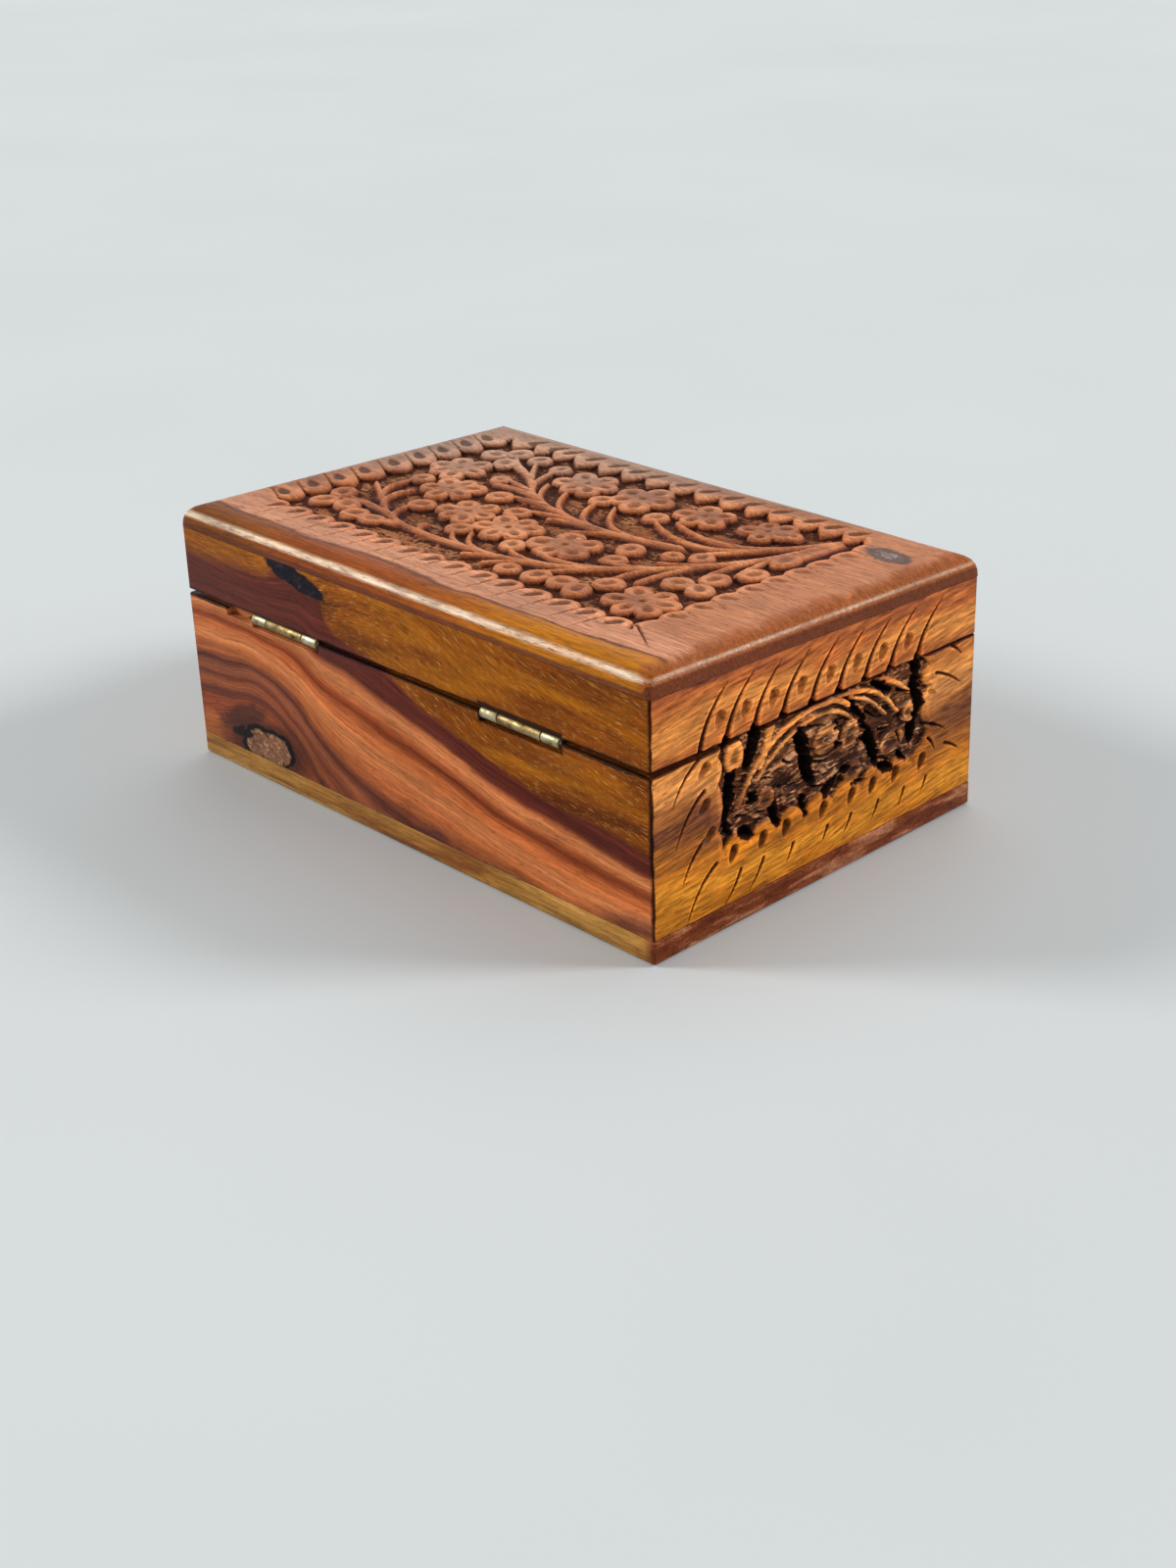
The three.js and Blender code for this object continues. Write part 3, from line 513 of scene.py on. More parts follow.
BUDS = [  # across, up, radius, turned
    (9.5, -20.4, 3.0, 0.9), (-8.6, -19.8, 3.1, 1.2), (-39.2, -30.6, 2.8, 0.5),
    (38.3, -15.2, 2.6, 0.8),
    (28.6, -6.2, 3.3, 0.7), (16.7, -0.8, 3.2, 0.4), (52.7, -3.1, 3.0, 1.3), (36.9, 10.3, 3.4, 0.6),
    (17.4, 15.9, 3.2, 0.7), (0.2, 15.5, 3.1, 2.3), (-20.4, -0.2, 3.4, 1.9), (-22.9, 7.0, 2.8, 0.6),
    (-35.5, -6.6, 3.0, 1.7), (-29.9, -3.4, 2.5, 0.2), (-18.4, 25.5, 3.4, 1.2),
    (-10.5, 26.5, 3.0, 0.5),
    (42.6, 25.3, 3.5, 0.7), (-50.8, -6.2, 3.5, 1.4), (34.0, -30.4, 2.8, 1.3), (43.4, -32.4, 3.0, 1.1),
]
UPPER_SPINE = [(-27.4, -8.3), (-9.1, -5.1), (7.1, -6.8), (22.5, -11.8), (37.3, -22.9), (54.7, -29.7)]
UPPER_STRANDS = [
    (0.07, 3.3, -18.6), (0.22, 9.5, -19.6), (0.33, 19.6, -18.8), (0.47, 27.6, -20.4),
    (0.56, 34.2, -29.8), (0.70, 43.4, -31.6), (0.83, 51.1, -32.0), (0.70, 48.1, -25.2),
    (0.60, 39.2, -15.9), (0.56, 37.1, -12.1), (0.45, 29.4, -7.4), (0.30, 17.8, -2.0),
    (0.24, 8.3, -2.4), (0.13, -2.5, 0.4),
]
CORNER_SPINE = [(-50.1, -34.2), (-45.5, -25.8), (-40.0, -17.2), (-34.3, -9.6)]
CORNER_STRANDS = [(0.28, -14.6, -20.6), (0.52, -8.6, -19.0)]
LOWER_SPINE = [(-49.7, -32.2), (-44.7, -12.9), (-32.8, 5.8), (-14.6, 19.5), (8.1, 23.5), (33.2, 21.4),
               (57.9, 6.6)]
LOWER_STRANDS = [
    (0.93, 53.2, -2.2), (0.90, 47.2, 4.2), (0.83, 37.8, 11.4), (0.75, 25.4, 18.5), (0.64, 17.9, 16.4),
    (0.60, 13.1, 15.8), (0.45, 1.0, 16.4), (0.36, -5.3, 14.4), (0.28, -20.5, 9.0), (0.16, -30.9, 2.0),
    (0.84, 52.9, 17.9), (0.84, 57.6, 21.5), (0.55, 3.9, 26.9), (0.50, -3.6, 27.6),
    (0.38, -17.7, 22.4),
    (0.30, -31.4, 17.4), (0.22, -36.5, 14.2), (0.13, -44.6, 3.6), (0.06, -48.5, -3.0),
]


def frond(face, spine, strands, wide, narrow):
    """A spine, and strands that leave it ahead along its own line before they bend to their tips"""
    spine = curve_through(spine, 40)
    face.rib(spine, wide, narrow, -0.12, -0.3, web=1.0)
    for share, across, up in strands:
        place = share * (len(spine) - 1)
        i = min(int(place), len(spine) - 2)
        root = spine[i] + (spine[i + 1] - spine[i]) * (place - i)
        ahead = (spine[i + 1] - spine[i]) / np.hypot(*(spine[i + 1] - spine[i]))
        tip = np.array([across, up])
        reach = np.hypot(*(tip - root))
        face.rib(bow(root, root + ahead * reach * 0.6, tip), 0.55, 0.45, -0.1, -0.28, web=1.7)


def carve_top(face):
    u, v = face.u, face.v
    near = TOP_NEAR + tongue_edge(BACK_NOTCHES, u - 0.1 * (v - TOP_NEAR), 3.6, 2.6) - v
    far = v - TOP_FAR + tongue_edge(FRONT_NOTCHES, u + 0.25 * (v - TOP_FAR), 4.2, 1.3)
    right = TOP_RIGHT + tongue_edge(RIGHT_NOTCHES, v, 3.2, 2.2) - u
    left = u - TOP_LEFT + tongue_edge(LEFT_NOTCHES, v, 1.7, 2.2)
    face.sink_field(np.minimum(np.minimum(near, far), np.minimum(left, right)))

    for across, up, radius, petals, turned, heart in FLOWERS:
        face.flower((across, up), radius, petals, turned, heart)
    frond(face, CORNER_SPINE, CORNER_STRANDS, 1.15, 0.85)
    frond(face, LOWER_SPINE, LOWER_STRANDS, 1.05, 0.6)
    frond(face, UPPER_SPINE, UPPER_STRANDS, 1.0, 0.55)
    face.rib(curve_through([(-50.6, -33.5), (-50.4, -26), (-49.6, -18)], 12), 1.6, 2.5, -0.3)
    face.rib(curve_through([(29.5, 22.8), (34, 24.2), (38, 25.4)], 10), 1.6, 2.2, -0.35)
    face.pad((-49.6, -17.6), 3.0, -0.1, 0.6, 1.6, 1.5)
    face.pad((36.6, 25.2), 2.7, -0.15, 0.6, 0.2, 1.4)
    for lobes in TREFOILS:
        middle = np.mean(lobes, axis=0)
        for lobe in lobes:
            away = np.subtract(lobe, middle)
            face.pad(lobe, 3.3, -0.1, 0.5, math.atan2(away[1], away[0]), 1.15)
    for across, up, radius, turned in BUDS:
        face.pad((across, up), radius, -0.12, 0.5, turned, 1.08)
    face.tool_marks(11)

    for x in BACK_NOTCHES[1:-1]:
        face.slit((x + 0.1, 33.6), (x + 0.4, 38), (x + 0.9, 42.4), 1.1, 0.7, 0.55)
    for x in (-51, -43, -35.5, -27.5, -19.3, -11.5, -3, 4.5, 12, 21, 28, 36, 44.5, 52, 59.5):
        face.scoop((x + 0.3, 34.6), math.pi / 2 - 0.38, 5.9, 3.1, 0.62, 0.58)
    for x in (54, 46.5, 41.5, 33.5, 25.5, 18.5, 12.5, 3, -4.5, -12, -18.5, -27, -36.5, -42.5, -49.5):
        face.scoop((x, -41.8), math.pi * 1.5 - 0.62, 6.6, 3.0, 0.5, 0.6)
    for y in RIGHT_NOTCHES[1:-1]:
        face.slit((63.6, y + 0.2), (67.5, y - 1.2), (73.5, y - 4.4), 0.8, 0.6, 0.6)
    for y in (-35.5, -28.5, -21, -13.5, -5.5, 3.5, 11.2, 19, 27.5):
        face.scoop((67.0, y - 0.4), -0.42, 6.8, 3.1, 0.5, 0.66)
    for y in LEFT_NOTCHES[1:-2]:
        face.slit((-55.4, y), (-58.5, y + 0.3), (-62, y + 1.6), 0.6, 0.45, 0.6)
    for y in (-28.5, -20.7, -14, -6.5, 1, 8.5, 16, 23.5):
        face.scoop((-57.6, y), math.pi + 0.35, 5.2, 2.6, 0.45)
    face.slit((-54.5, 32), (-59, 35), (-66, 40), 0.7, 0.6)
    flat = 1 - face.ground
    face.w += flat * (0.05 * rough(u, v, 17, 9, 21) + 0.025 * rough(u, v, 4, 2.5, 22))
    face.w += 0.03 * rough(u, v, 0.9, 0.8, 23)


# The carving of an end crosses the seam: arched leaves in a field below, curved cuts on the rail

END_LEFT, END_RIGHT, END_FOOT, END_HEAD = -29.6, 32.4, 14.6, 35.4
END_NOTCHES = [-38, -29.6, -21.6, -13.4, -5.2, 3.4, 12.2, 20.4, 29.2, 37]
SIDE_NOTCHES = [10, 17.3, 27.6, 33.2, 40]
END_LEAVES = [  # places along it, its width at the root and at the tip, its height
    (((-25.3, 20.2), (-19.6, 27.9), (-11.0, 33.0), (-2.5, 34.6)), 0.6, 0.9, -0.35),
    (((-2.5, 34.6), (5.1, 33.8), (10.6, 29.6), (13.4, 24.6)), 0.9, 0.6, -0.35),
    (((-23.2, 20.7), (-16.8, 26.6), (-9.1, 30.9), (-2.5, 32.4)), 0.5, 0.7, -0.55),
    (((-2.5, 32.4), (4.2, 31.6), (9.0, 28.9), (11.0, 26.0)), 0.7, 0.5, -0.55),
    (((-19.6, 21.6), (-13.4, 25.4), (-7.4, 28.6)), 0.5, 0.6, -0.8),
    (((5.1, 35.0), (14.4, 33.0), (20.2, 29.6), (24.0, 25.4)), 0.8, 0.5, -0.35),
    (((9.0, 33.2), (15.0, 30.6), (20.6, 25.8)), 0.5, 0.5, -0.6),
    (((18.4, 34.6), (24.2, 31.6), (28.0, 28.6)), 0.9, 0.6, -0.35),
    (((-15.4, 35.2), (-16.6, 31.5), (-18.6, 27.0)), 1.7, 0.9, -0.35),
]
END_BUDS = [  # across, up, radius, height, turned, its length over its width
    (-26.2, 32.0, 2.8, -0.25, 1.45, 1.35), (-16.9, 19.4, 2.6, -0.45, 0.3, 1.1),
    (1.6, 26.2, 3.6, -0.7, 0.1, 1.2), (9.2, 24.6, 3.2, -0.75, 1.0, 1.2),
    (22.8, 18.6, 2.9, -0.55, 0.1, 1.5), (10.2, 15.9, 2.6, -0.7, 0.3, 1.2),
    (28.2, 23.6, 2.2, -0.6, 0.2, 1.0), (-9.4, 17.0, 2.2, -0.9, 0.2, 1.2),
]
END_PITS = [  # places along it, half its width, depth
    (((-18.9, 35.4), (-20.6, 31.6), (-22.0, 28.6)), 1.25, 4.6),
    (((-26.6, 28.0), (-27.0, 24.0), (-28.2, 19.4)), 1.35, 4.8),
    (((-21.6, 21.4), (-20.4, 20.2)), 1.0, 4.0), (((-24.0, 14.4), (-21.4, 13.4)), 1.0, 3.8),
    (((-28.2, 17.2), (-27.2, 15.6)), 0.9, 3.8), (((-14.6, 16.8), (-13.4, 13.2)), 1.1, 4.2),
    (((-6.6, 30.4), (-4.6, 25.0), (-3.0, 18.8)), 1.5, 4.8),
    (((-5.4, 15.4), (-5.0, 12.6)), 0.75, 3.8), (((4.9, 23.9), (5.1, 23.7)), 0.85, 3.8),
    (((1.4, 14.2), (4.6, 16.2)), 1.0, 4.0), (((6.6, 17.2), (8.2, 17.6)), 0.5, 3.6),
    (((9.4, 31.4), (12.6, 28.0), (14.8, 23.4)), 0.85, 4.2),
    (((14.8, 23.6), (16.8, 18.8), (17.6, 15.8)), 1.35, 4.6),
    (((19.4, 14.2), (21.6, 13.2)), 1.0, 3.8), (((25.2, 15.2), (26.6, 13.6)), 0.7, 3.6),
    (((31.0, 35.4), (30.2, 29.0), (31.8, 24.6)), 1.1, 4.4),
    (((31.4, 24.4), (29.4, 20.6), (29.0, 16.8)), 1.0, 4.4), (((17.4, 33.6), (21.6, 30.8)), 0.5, 3.4),
]
FIELD_CUTS = [  # start, the place that it bends towards, end
    ((-6.5, 30.0), (-3.0, 30.8), (1.4, 29.4)), ((5.4, 28.8), (5.9, 27.6), (5.6, 26.2)),
    ((4.2, 27.8), (5.8, 27.3), (7.2, 27.5)), ((11.4, 22.8), (13.4, 22.0), (15.6, 22.4)),
    ((19.4, 15.8), (21.4, 15.2), (23.2, 13.8)), ((9.2, 13.4), (11.6, 12.6), (14.4, 13.0)),
    ((-24.6, 17.8), (-22.4, 17.0), (-20.2, 17.4)), ((-20.8, 23.2), (-17.6, 24.8), (-14.2, 22.8)),
    ((-2.4, 16.9), (-0.4, 15.8), (1.9, 15.8)), ((24.4, 30.0), (26.6, 29.0), (28.9, 28.4)),
    ((-11.4, 25.8), (-9.6, 24.4), (-8.0, 24.7)), ((15.2, 27.8), (17.0, 26.4), (18.2, 25.5)),
    ((-12.4, 20.2), (-10.6, 19.4), (-8.4, 20.0)), ((19.0, 22.4), (21.2, 21.6), (23.4, 22.2)),
    ((24.0, 20.6), (25.0, 19.0), (25.4, 17.2)), ((-1.4, 22.0), (0.4, 21.2), (2.8, 21.4)),
]
# across, up, how far it runs across and up
END_LEFT_CUTS = [(-36.6, 34.8, -7.5, -7.9), (-35.2, 27.6, -8.2, -10), (-35.2, 16.9, -6.4, -7.8),
                 (-32.0, 10.5, -8.6, -10.6)]
END_FOOT_CUTS = [(-24.8, 6.6, -5.0, -6.4), (-18.1, 6.6, -4.6, -5.8), (-9.1, 6.6, -2.2, -3.6),
                 (1.6, 6.6, -2.1, -3.3), (9.1, 6.6, -2.5, -3.6), (18.0, 6.6, -2.5, -3.9),
                 (26.6, 6.6, -2.2, -3.6), (34.0, 6.6, -2.0, -3.2)]
END_RIGHT_CUTS = [(41.5, 35.0, 3.8, -3.3), (36.5, 30.2, 9.0, -5.2), (33.0, 19.4, 7.2, -3.4),
                  (40.1, 12.6, 5.0, -2.9), (34.6, 15.5, 2.2, -3.4)]


def bent_cuts(face, cuts, bend_across, bend_up, width, depth):
    """Knife cuts that all bend at the same shares of their way across and up"""
    for x, y, run, rise in cuts:
        bend = (x + run * bend_across, y + rise * bend_up)
        face.slit((x, y), bend, (x + run, y + rise), width, depth)


def carve_end(face, seed=31):
    u, v = face.u, face.v
    bottom = v - END_FOOT + tongue_edge(END_NOTCHES, u + 0.1 * (v - END_FOOT), 2.6, 1.6)
    left = u - END_LEFT + tongue_edge(SIDE_NOTCHES, v, 1.2, 2)
    right = END_RIGHT + tongue_edge(SIDE_NOTCHES, v, 2.2, 1.4) - u
    face.sink_field(np.minimum(bottom, np.minimum(left, right)))

    # The ground rises to rough lumps that were left standing, and thin arched leaves cross them
    mounds = rough(u, v, 6.5, 3.4, seed) + 0.5 * rough(u, v, 3.2, 1.5, seed + 1)
    face.w += face.ground * np.clip(1.15 + 0.5 * mounds, 0, 1.9) * smooth(END_HEAD, 33, v)
    for line, wide, narrow, crest in END_LEAVES:
        face.rib(curve_through(line, 20), wide, narrow, crest, web=0.4)
    for x, y, radius, crest, turned, long in END_BUDS:
        face.pad((x, y), radius, crest, 0.35, turned, long)
    for line, half, deep in END_PITS:
        face.pit(line, half, deep, seed + 7)
    face.tool_marks(seed + 4, 0.3)
    torn = rough(u, v, 4.6, 0.42, seed + 9) + 0.6 * rough(u, v, 2.0, 0.3, seed + 10)
    face.w += face.ground * 0.24 * torn * smooth(-3.4, -2.4, face.w)
    for start, control, end in FIELD_CUTS:
        face.slit(start, control, end, 0.9, 0.9)

    bent_cuts(face, END_LEFT_CUTS, 0.65, 0.3, 1.15, 0.95)
    for x, y in ((-35.2, 31.9), (-35.2, 24.0), (-33.8, 17.3)):
        face.scoop((x, y), -2.4, 5.0, 2.7, 0.9, 0.5)
    for x in (-27.0, -18.4, -11.3, 0.1, 9.1, 15.9, 23.4, 32.3):
        face.scoop((x, 10.8), -2.0, 4.8, 2.6, 1.0, 0.66)
    bent_cuts(face, END_FOOT_CUTS, 0.4, 0.6, 1.0, 0.7)
    bent_cuts(face, END_RIGHT_CUTS, 0.55, 0.3, 0.9, 0.7)
    for x, y in ((35.6, 25.8), (36.4, 18.0)):
        face.scoop((x, y), -0.5, 3.2, 1.7, 0.6)


def carve_right_end(face):
    """The far end isn't seen in the photograph: the same pattern, with another run of the gouge"""
    carve_end(face, 83)


END_RAIL_NOTCHES = [-36.3, -28.9, -20.8, -12.4, -3.7, 4.5, 12.8, 20.9, 29.8]


def carve_end_rail(face):
    for x in END_RAIL_NOTCHES:
        face.slit((x + 0.1, 0.2), (x + 1.1, 6.2), (x + 7.8, 12.0), 1.5, 1.1)
    for x in END_RAIL_NOTCHES[1:]:
        face.nick(x)
    for x in END_RAIL_NOTCHES[:-1]:
        face.scoop((x + 5.7, 4.8), -2.0, 4.8, 2.9, 0.9, 0.36)


FRONT_HALF = 49.2
FRONT_NOTCHES_BELOW = [-57.4 + 8.2 * k for k in range(15)]
FRONT_LEAVES = [  # places along it, points, its width and its height at the root and at the tip
    (((-22, 17.5), (-15.5, 27.5), (-6, 33.2), (3, 34.4)), 20, 1.2, 1.5, -0.5, -0.5),
    (((2, 34.5), (10, 33), (16, 28), (20, 20)), 20, 1.5, 1.0, -0.4, -0.8),
    (((-18.5, 18), (-11, 26), (-3, 30), (5, 30.6)), 16, 1.0, 1.1, -0.7, -0.7),
    (((5, 30.6), (11, 27), (14, 21)), 12, 1.1, 0.9, -0.7, -0.7),
]
FRONT_BUDS = [(-11.5, 19.6, 2.6), (8.6, 20.4, 2.8), (-20.5, 30.5, 2.8), (20.6, 30.4, 2.7)]


def carve_front(face):
    """The front faces away in the photograph, so it has two of the ends' arches, side by side"""
    u, v = face.u, face.v
    bottom = v - END_FOOT + tongue_edge(FRONT_NOTCHES_BELOW, u + 0.1 * (v - END_FOOT), 3.4, 1.8)
    sides = FRONT_HALF + tongue_edge(SIDE_NOTCHES, v, 1.6, 2) - np.abs(u)
    face.sink_field(np.minimum(bottom, sides))
    mounds = rough(u, v, 6.5, 4.2, 51) + 0.5 * rough(u, v, 2.6, 1.9, 52)
    face.w += face.ground * np.clip(0.7 + 0.5 * mounds, 0, 1.4) * smooth(34.5, 30, v)
    for x in (-24.6, 24.6):
        for line, count, wide, narrow, crest, tip_crest in FRONT_LEAVES:
            line = [(x + across, up) for across, up in line]
            face.rib(curve_through(line, count), wide, narrow, crest, tip_crest)
        face.flower((x - 1.5, 21.8), 6.4, 5, 0.4 + 0.03 * x, 0.6, -0.4)
        for dx, y, radius in FRONT_BUDS:
            face.pad((x + dx, y), radius, -0.4, 0.7, 0.1 * dx)
    face.pad((0, 23.5), 3.2, -0.4, 0.8, 1.5, 1.4)
    face.pad((0, 31.2), 2.6, -0.4, 0.7, 1.5, 1.2)
    face.tool_marks(55, 0.3)
    for x in FRONT_NOTCHES_BELOW[1:-1]:
        face.slit((x - 0.6, 8.8), (x - 1.8, 6.2), (x - 4.4, 2.6), 0.8, 0.75)
        face.scoop((x + 4.1, 10.8), -2.1, 4.4, 2.3, 0.9, 0.7)
    for side in (-1, 1):
        for y in (33.8, 26.8, 18.5, 11.5):
            face.slit((side * 53.6, y), (side * 59, y - 2), (side * 62, y - 8), 0.8, 0.85)
        for y in (30.6, 22.6, 15.2):
            face.scoop((side * 54.4, y), -math.pi / 2 + side * 0.8, 3.6, 2.0, 0.8)


def carve_front_rail(face):
    for k in range(13):
        x = -51.5 + 8.0 * k
        face.slit((x, 0.4), (x + 1.1, 5.8), (x + 7.0, 10.6), 0.95, 1.0)
        face.nick(x)
        face.scoop((x + 5.4, 4.6), -2.0, 4.8, 2.9, 0.9, 0.36)


# Boards and metal that keep the plain shapes of the joinery

def close_up(bm, angle=30):
    """Merge, point the faces outwards and shade smooth, apart from edges sharper than the angle"""
    bmesh.ops.remove_doubles(bm, verts=bm.verts, dist=0.0004)
    bmesh.ops.recalc_face_normals(bm, faces=bm.faces)
    for face in bm.faces:
        face.smooth = True
    for edge in bm.edges:
        edge.smooth = edge.is_manifold and edge.calc_face_angle(0) < math.radians(angle)


def solid(name, bm, place=None):
    if place is not None:
        bmesh.ops.transform(bm, matrix=place, verts=bm.verts)
    bmesh.ops.scale(bm, vec=(MM, MM, MM), verts=bm.verts)
    mesh = bpy.data.meshes.new(name)
    bm.to_mesh(mesh)
    bm.free()
    piece = bpy.data.objects.new(name, mesh)
    bpy.context.scene.collection.objects.link(piece)
    return piece


def eased_copy(name, node, ease):
    """A copy of a plain node with its arrises eased, as fine abrasive paper leaves them"""
    bm = bmesh.new()
    bm.from_mesh(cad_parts[node].data)
    bmesh.ops.scale(bm, vec=(1 / MM, 1 / MM, 1 / MM), verts=bm.verts)
    bmesh.ops.remove_doubles(bm, verts=bm.verts, dist=0.002)
    bmesh.ops.dissolve_limit(bm, angle_limit=math.radians(2), verts=bm.verts, edges=bm.edges)
    sharp = [e for e in bm.edges if e.is_manifold and e.calc_face_angle(0) > math.radians(40)]
    bmesh.ops.bevel(bm, geom=sharp, offset=ease, offset_type="OFFSET", segments=3, affect="EDGES",
                    profile=0.5, material=-1, clamp_overlap=True)
    close_up(bm, 35)
    return solid(name, bm)


def bar(bm, low, high, ease):
    """A block between two corners, with its edges eased"""
    made = bmesh.ops.create_cube(bm, size=1)["verts"]
    middle = [(a + b) / 2 for a, b in zip(low, high)]
    bmesh.ops.scale(bm, vec=[b - a for a, b in zip(low, high)], verts=made)
    bmesh.ops.translate(bm, vec=middle, verts=made)
    edges = list({e for v in made for e in v.link_edges})
    bmesh.ops.bevel(bm, geom=edges, offset=ease, offset_type="OFFSET", segments=2, affect="EDGES",
                    profile=0.5, material=-1)


def rod(bm, low, high, radius, ease, sides=40):
    """A round bar along x with its rims eased"""
    along_x = shift((low + high) / 2, 0, 0) @ turn(90, "Y")
    made = bmesh.ops.create_cone(bm, cap_ends=True, cap_tris=False, segments=sides, radius1=radius,
                                 radius2=radius, depth=high - low, matrix=along_x)["verts"]
    rims = {e for v in made for e in v.link_edges
            if abs(e.verts[0].co.x - e.verts[1].co.x) < 1e-4}
    bmesh.ops.bevel(bm, geom=list(rims), offset=ease, offset_type="OFFSET", segments=2,
                    affect="EDGES", profile=0.5, material=-1)


PLATE_EASE = 0.12
KNUCKLE_EASE = 0.14
ROOT_EASE = 0.02
ROOT_OVERLAP = 0.4


def hinge_leaf(name, knuckles, place):
    """A plate level with the bottom of the barrel, and the knuckles that were rolled from it"""
    half = HINGE_LENGTH / 2
    clear = -(BARREL + KNUCKLE_GAP)
    low, high = -BARREL, -BARREL + LEAF_THICKNESS
    bm = bmesh.new()
    bar(bm, (-half, -LEAF_REACH, low), (half, clear, high), PLATE_EASE)
    for start, end in knuckles:
        bar(bm, (start, clear - ROOT_OVERLAP, low), (end, 0, high), ROOT_EASE)
        rod(bm, start, end, BARREL, KNUCKLE_EASE)
    close_up(bm)
    return solid(name, bm, place)


def hinge_pin(name, place):
    half = HINGE_LENGTH / 2 + PIN_OVERHANG
    bm = bmesh.new()
    rod(bm, -half, half, PIN_RADIUS, PLATE_EASE, sides=24)
    close_up(bm)
    return solid(name, bm, place)


SLOT_HALF_WIDTH = 0.22
SLOT_DEPTH = 0.4


def slotted_screw(name, place):
    """A countersunk screw, turned from one profile, with a slot sawn across its head"""
    profile = [(0, -SCREW_LENGTH), (0.35, -SCREW_LENGTH + 0.5),
               (SCREW_SHANK_RADIUS, -SCREW_LENGTH + 1.6), (SCREW_SHANK_RADIUS, -SCREW_HEAD_HEIGHT),
               (SCREW_HEAD_RADIUS - 0.06, -0.12), (SCREW_HEAD_RADIUS, -0.05),
               (SCREW_HEAD_RADIUS - 0.06, 0), (0, 0)]
    bm = bmesh.new()
    points = [bm.verts.new((r, 0, z)) for r, z in profile]
    edges = [bm.edges.new(pair) for pair in zip(points, points[1:])]
    bmesh.ops.spin(bm, geom=points + edges, cent=(0, 0, 0), axis=(0, 0, 1), angle=2 * math.pi,
                   steps=32, use_merge=True)
    bmesh.ops.remove_doubles(bm, verts=bm.verts, dist=0.001)
    for x in (-SLOT_HALF_WIDTH, SLOT_HALF_WIDTH):
        bmesh.ops.bisect_plane(bm, geom=bm.verts[:] + bm.edges[:] + bm.faces[:], plane_co=(x, 0, 0),
                               plane_no=(1, 0, 0))
    slot = []
    for polygon in bm.faces:
        middle = polygon.calc_center_median()
        level = abs(middle.z) < 1e-4 or middle.z > -0.02 and polygon.normal.z > 0.9
        if abs(middle.x) < SLOT_HALF_WIDTH and level:
            slot.append(polygon)
    made = bmesh.ops.extrude_face_region(bm, geom=slot)["geom"]
    bmesh.ops.translate(bm, vec=(0, 0, -SLOT_DEPTH),
                        verts=[g for g in made if isinstance(g, bmesh.types.BMVert)])
    bmesh.ops.delete(bm, geom=slot, context="FACES_ONLY")
    close_up(bm)
    return solid(name, bm, place)


def wear(piece, material, body, slot, *nodes):
    piece.data.materials.clear()
    piece.data.materials.append(material)
    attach(piece, body)
    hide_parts(*nodes)


# Materials. They read the piece's own coordinates, in millimetres from the middle of the underside,
# so the figure of the wood runs on from the base to the lid.

def add(tree, kind, links=None, out=0, stops=None, curve=None, **settings):
    """Adds a node with its settings, colour stops or curve points, and links, and gives one output"""
    new = tree.nodes.new("ShaderNode" + kind)
    for key, value in settings.items():
        setattr(new, key, value)
    if stops:
        ramp = new.color_ramp
        while len(ramp.elements) < len(stops):
            ramp.elements.new(1)
        for element, (position, colour) in zip(ramp.elements, stops):
            element.position, element.color = position, linear(colour)
    if curve:
        points = new.mapping.curves[0].points
        while len(points) < len(curve):
            points.new(0.5, 0.5)
        for point, place in zip(points, curve):
            point.location = place
        new.mapping.update()
    for key, value in (links or {}).items():
        if isinstance(value, bpy.types.NodeSocket):
            tree.links.new(value, new.inputs[key])
        else:
            new.inputs[key].default_value = linear(value) if isinstance(value, str) else value
    return new.outputs[out] if len(new.outputs) else None


def begin(name):
    """A named material, its tree, and the place on the piece in millimetres"""
    material = bpy.data.materials.new(name)
    material.use_nodes = True
    tree = material.node_tree
    tree.nodes.clear()
    metres = add(tree, "TexCoord", out="Object")
    return material, tree, add(tree, "VectorMath", {0: metres, "Scale": 1 / MM}, operation="SCALE")


def lumps(tree, place, sizes, detail, roughness, distortion, seed):
    """Soft noise whose lumps are so many millimetres long along x, y and z"""
    drawn_out = add(tree, "Mapping", {"Vector": place, "Location": (seed, seed * 0.7, seed * 1.3),
                                      "Scale": [1 / size for size in sizes]})
    return add(tree, "TexNoise", {"Vector": drawn_out, "Scale": 1.0, "Detail": detail,
                                  "Roughness": roughness, "Distortion": distortion})


def over(tree, colour, other, value, start, full, most=1.0, even=False):
    """Another colour laid over one: none where a value is at start, its most where it is full"""
    share = add(tree, "MapRange", {"Value": value, "From Min": start, "From Max": full,
                                   "To Max": most},
                interpolation_type="LINEAR" if even else "SMOOTHSTEP")
    return add(tree, "Mix", {0: share, 6: colour, 7: other}, out=2, data_type="RGBA")


def distance(tree, value, at=0.0):
    """How far a value is from a level, on either side of it"""
    off = add(tree, "Math", {0: value, 1: at}, operation="SUBTRACT")
    return add(tree, "Math", {0: off}, operation="ABSOLUTE")


# The wood's streaks, fibres and pores, in millimetres along the grain and across it. The pores are
# about as wide as real ones. Real fibres are some hundredths of a millimetre wide, and each wood
# draws them coarser by its fibre value, as coarse as they need to be to show.
STREAK_LENGTH, STREAK_WIDTH = 30, 0.9
FIBRE_LENGTH, FIBRE_WIDTH = 6, 0.2
PORE_LENGTH, PORE_WIDTH = 2.8, 0.2
PORE_TINT = (0.42, 0.32, 0.26)


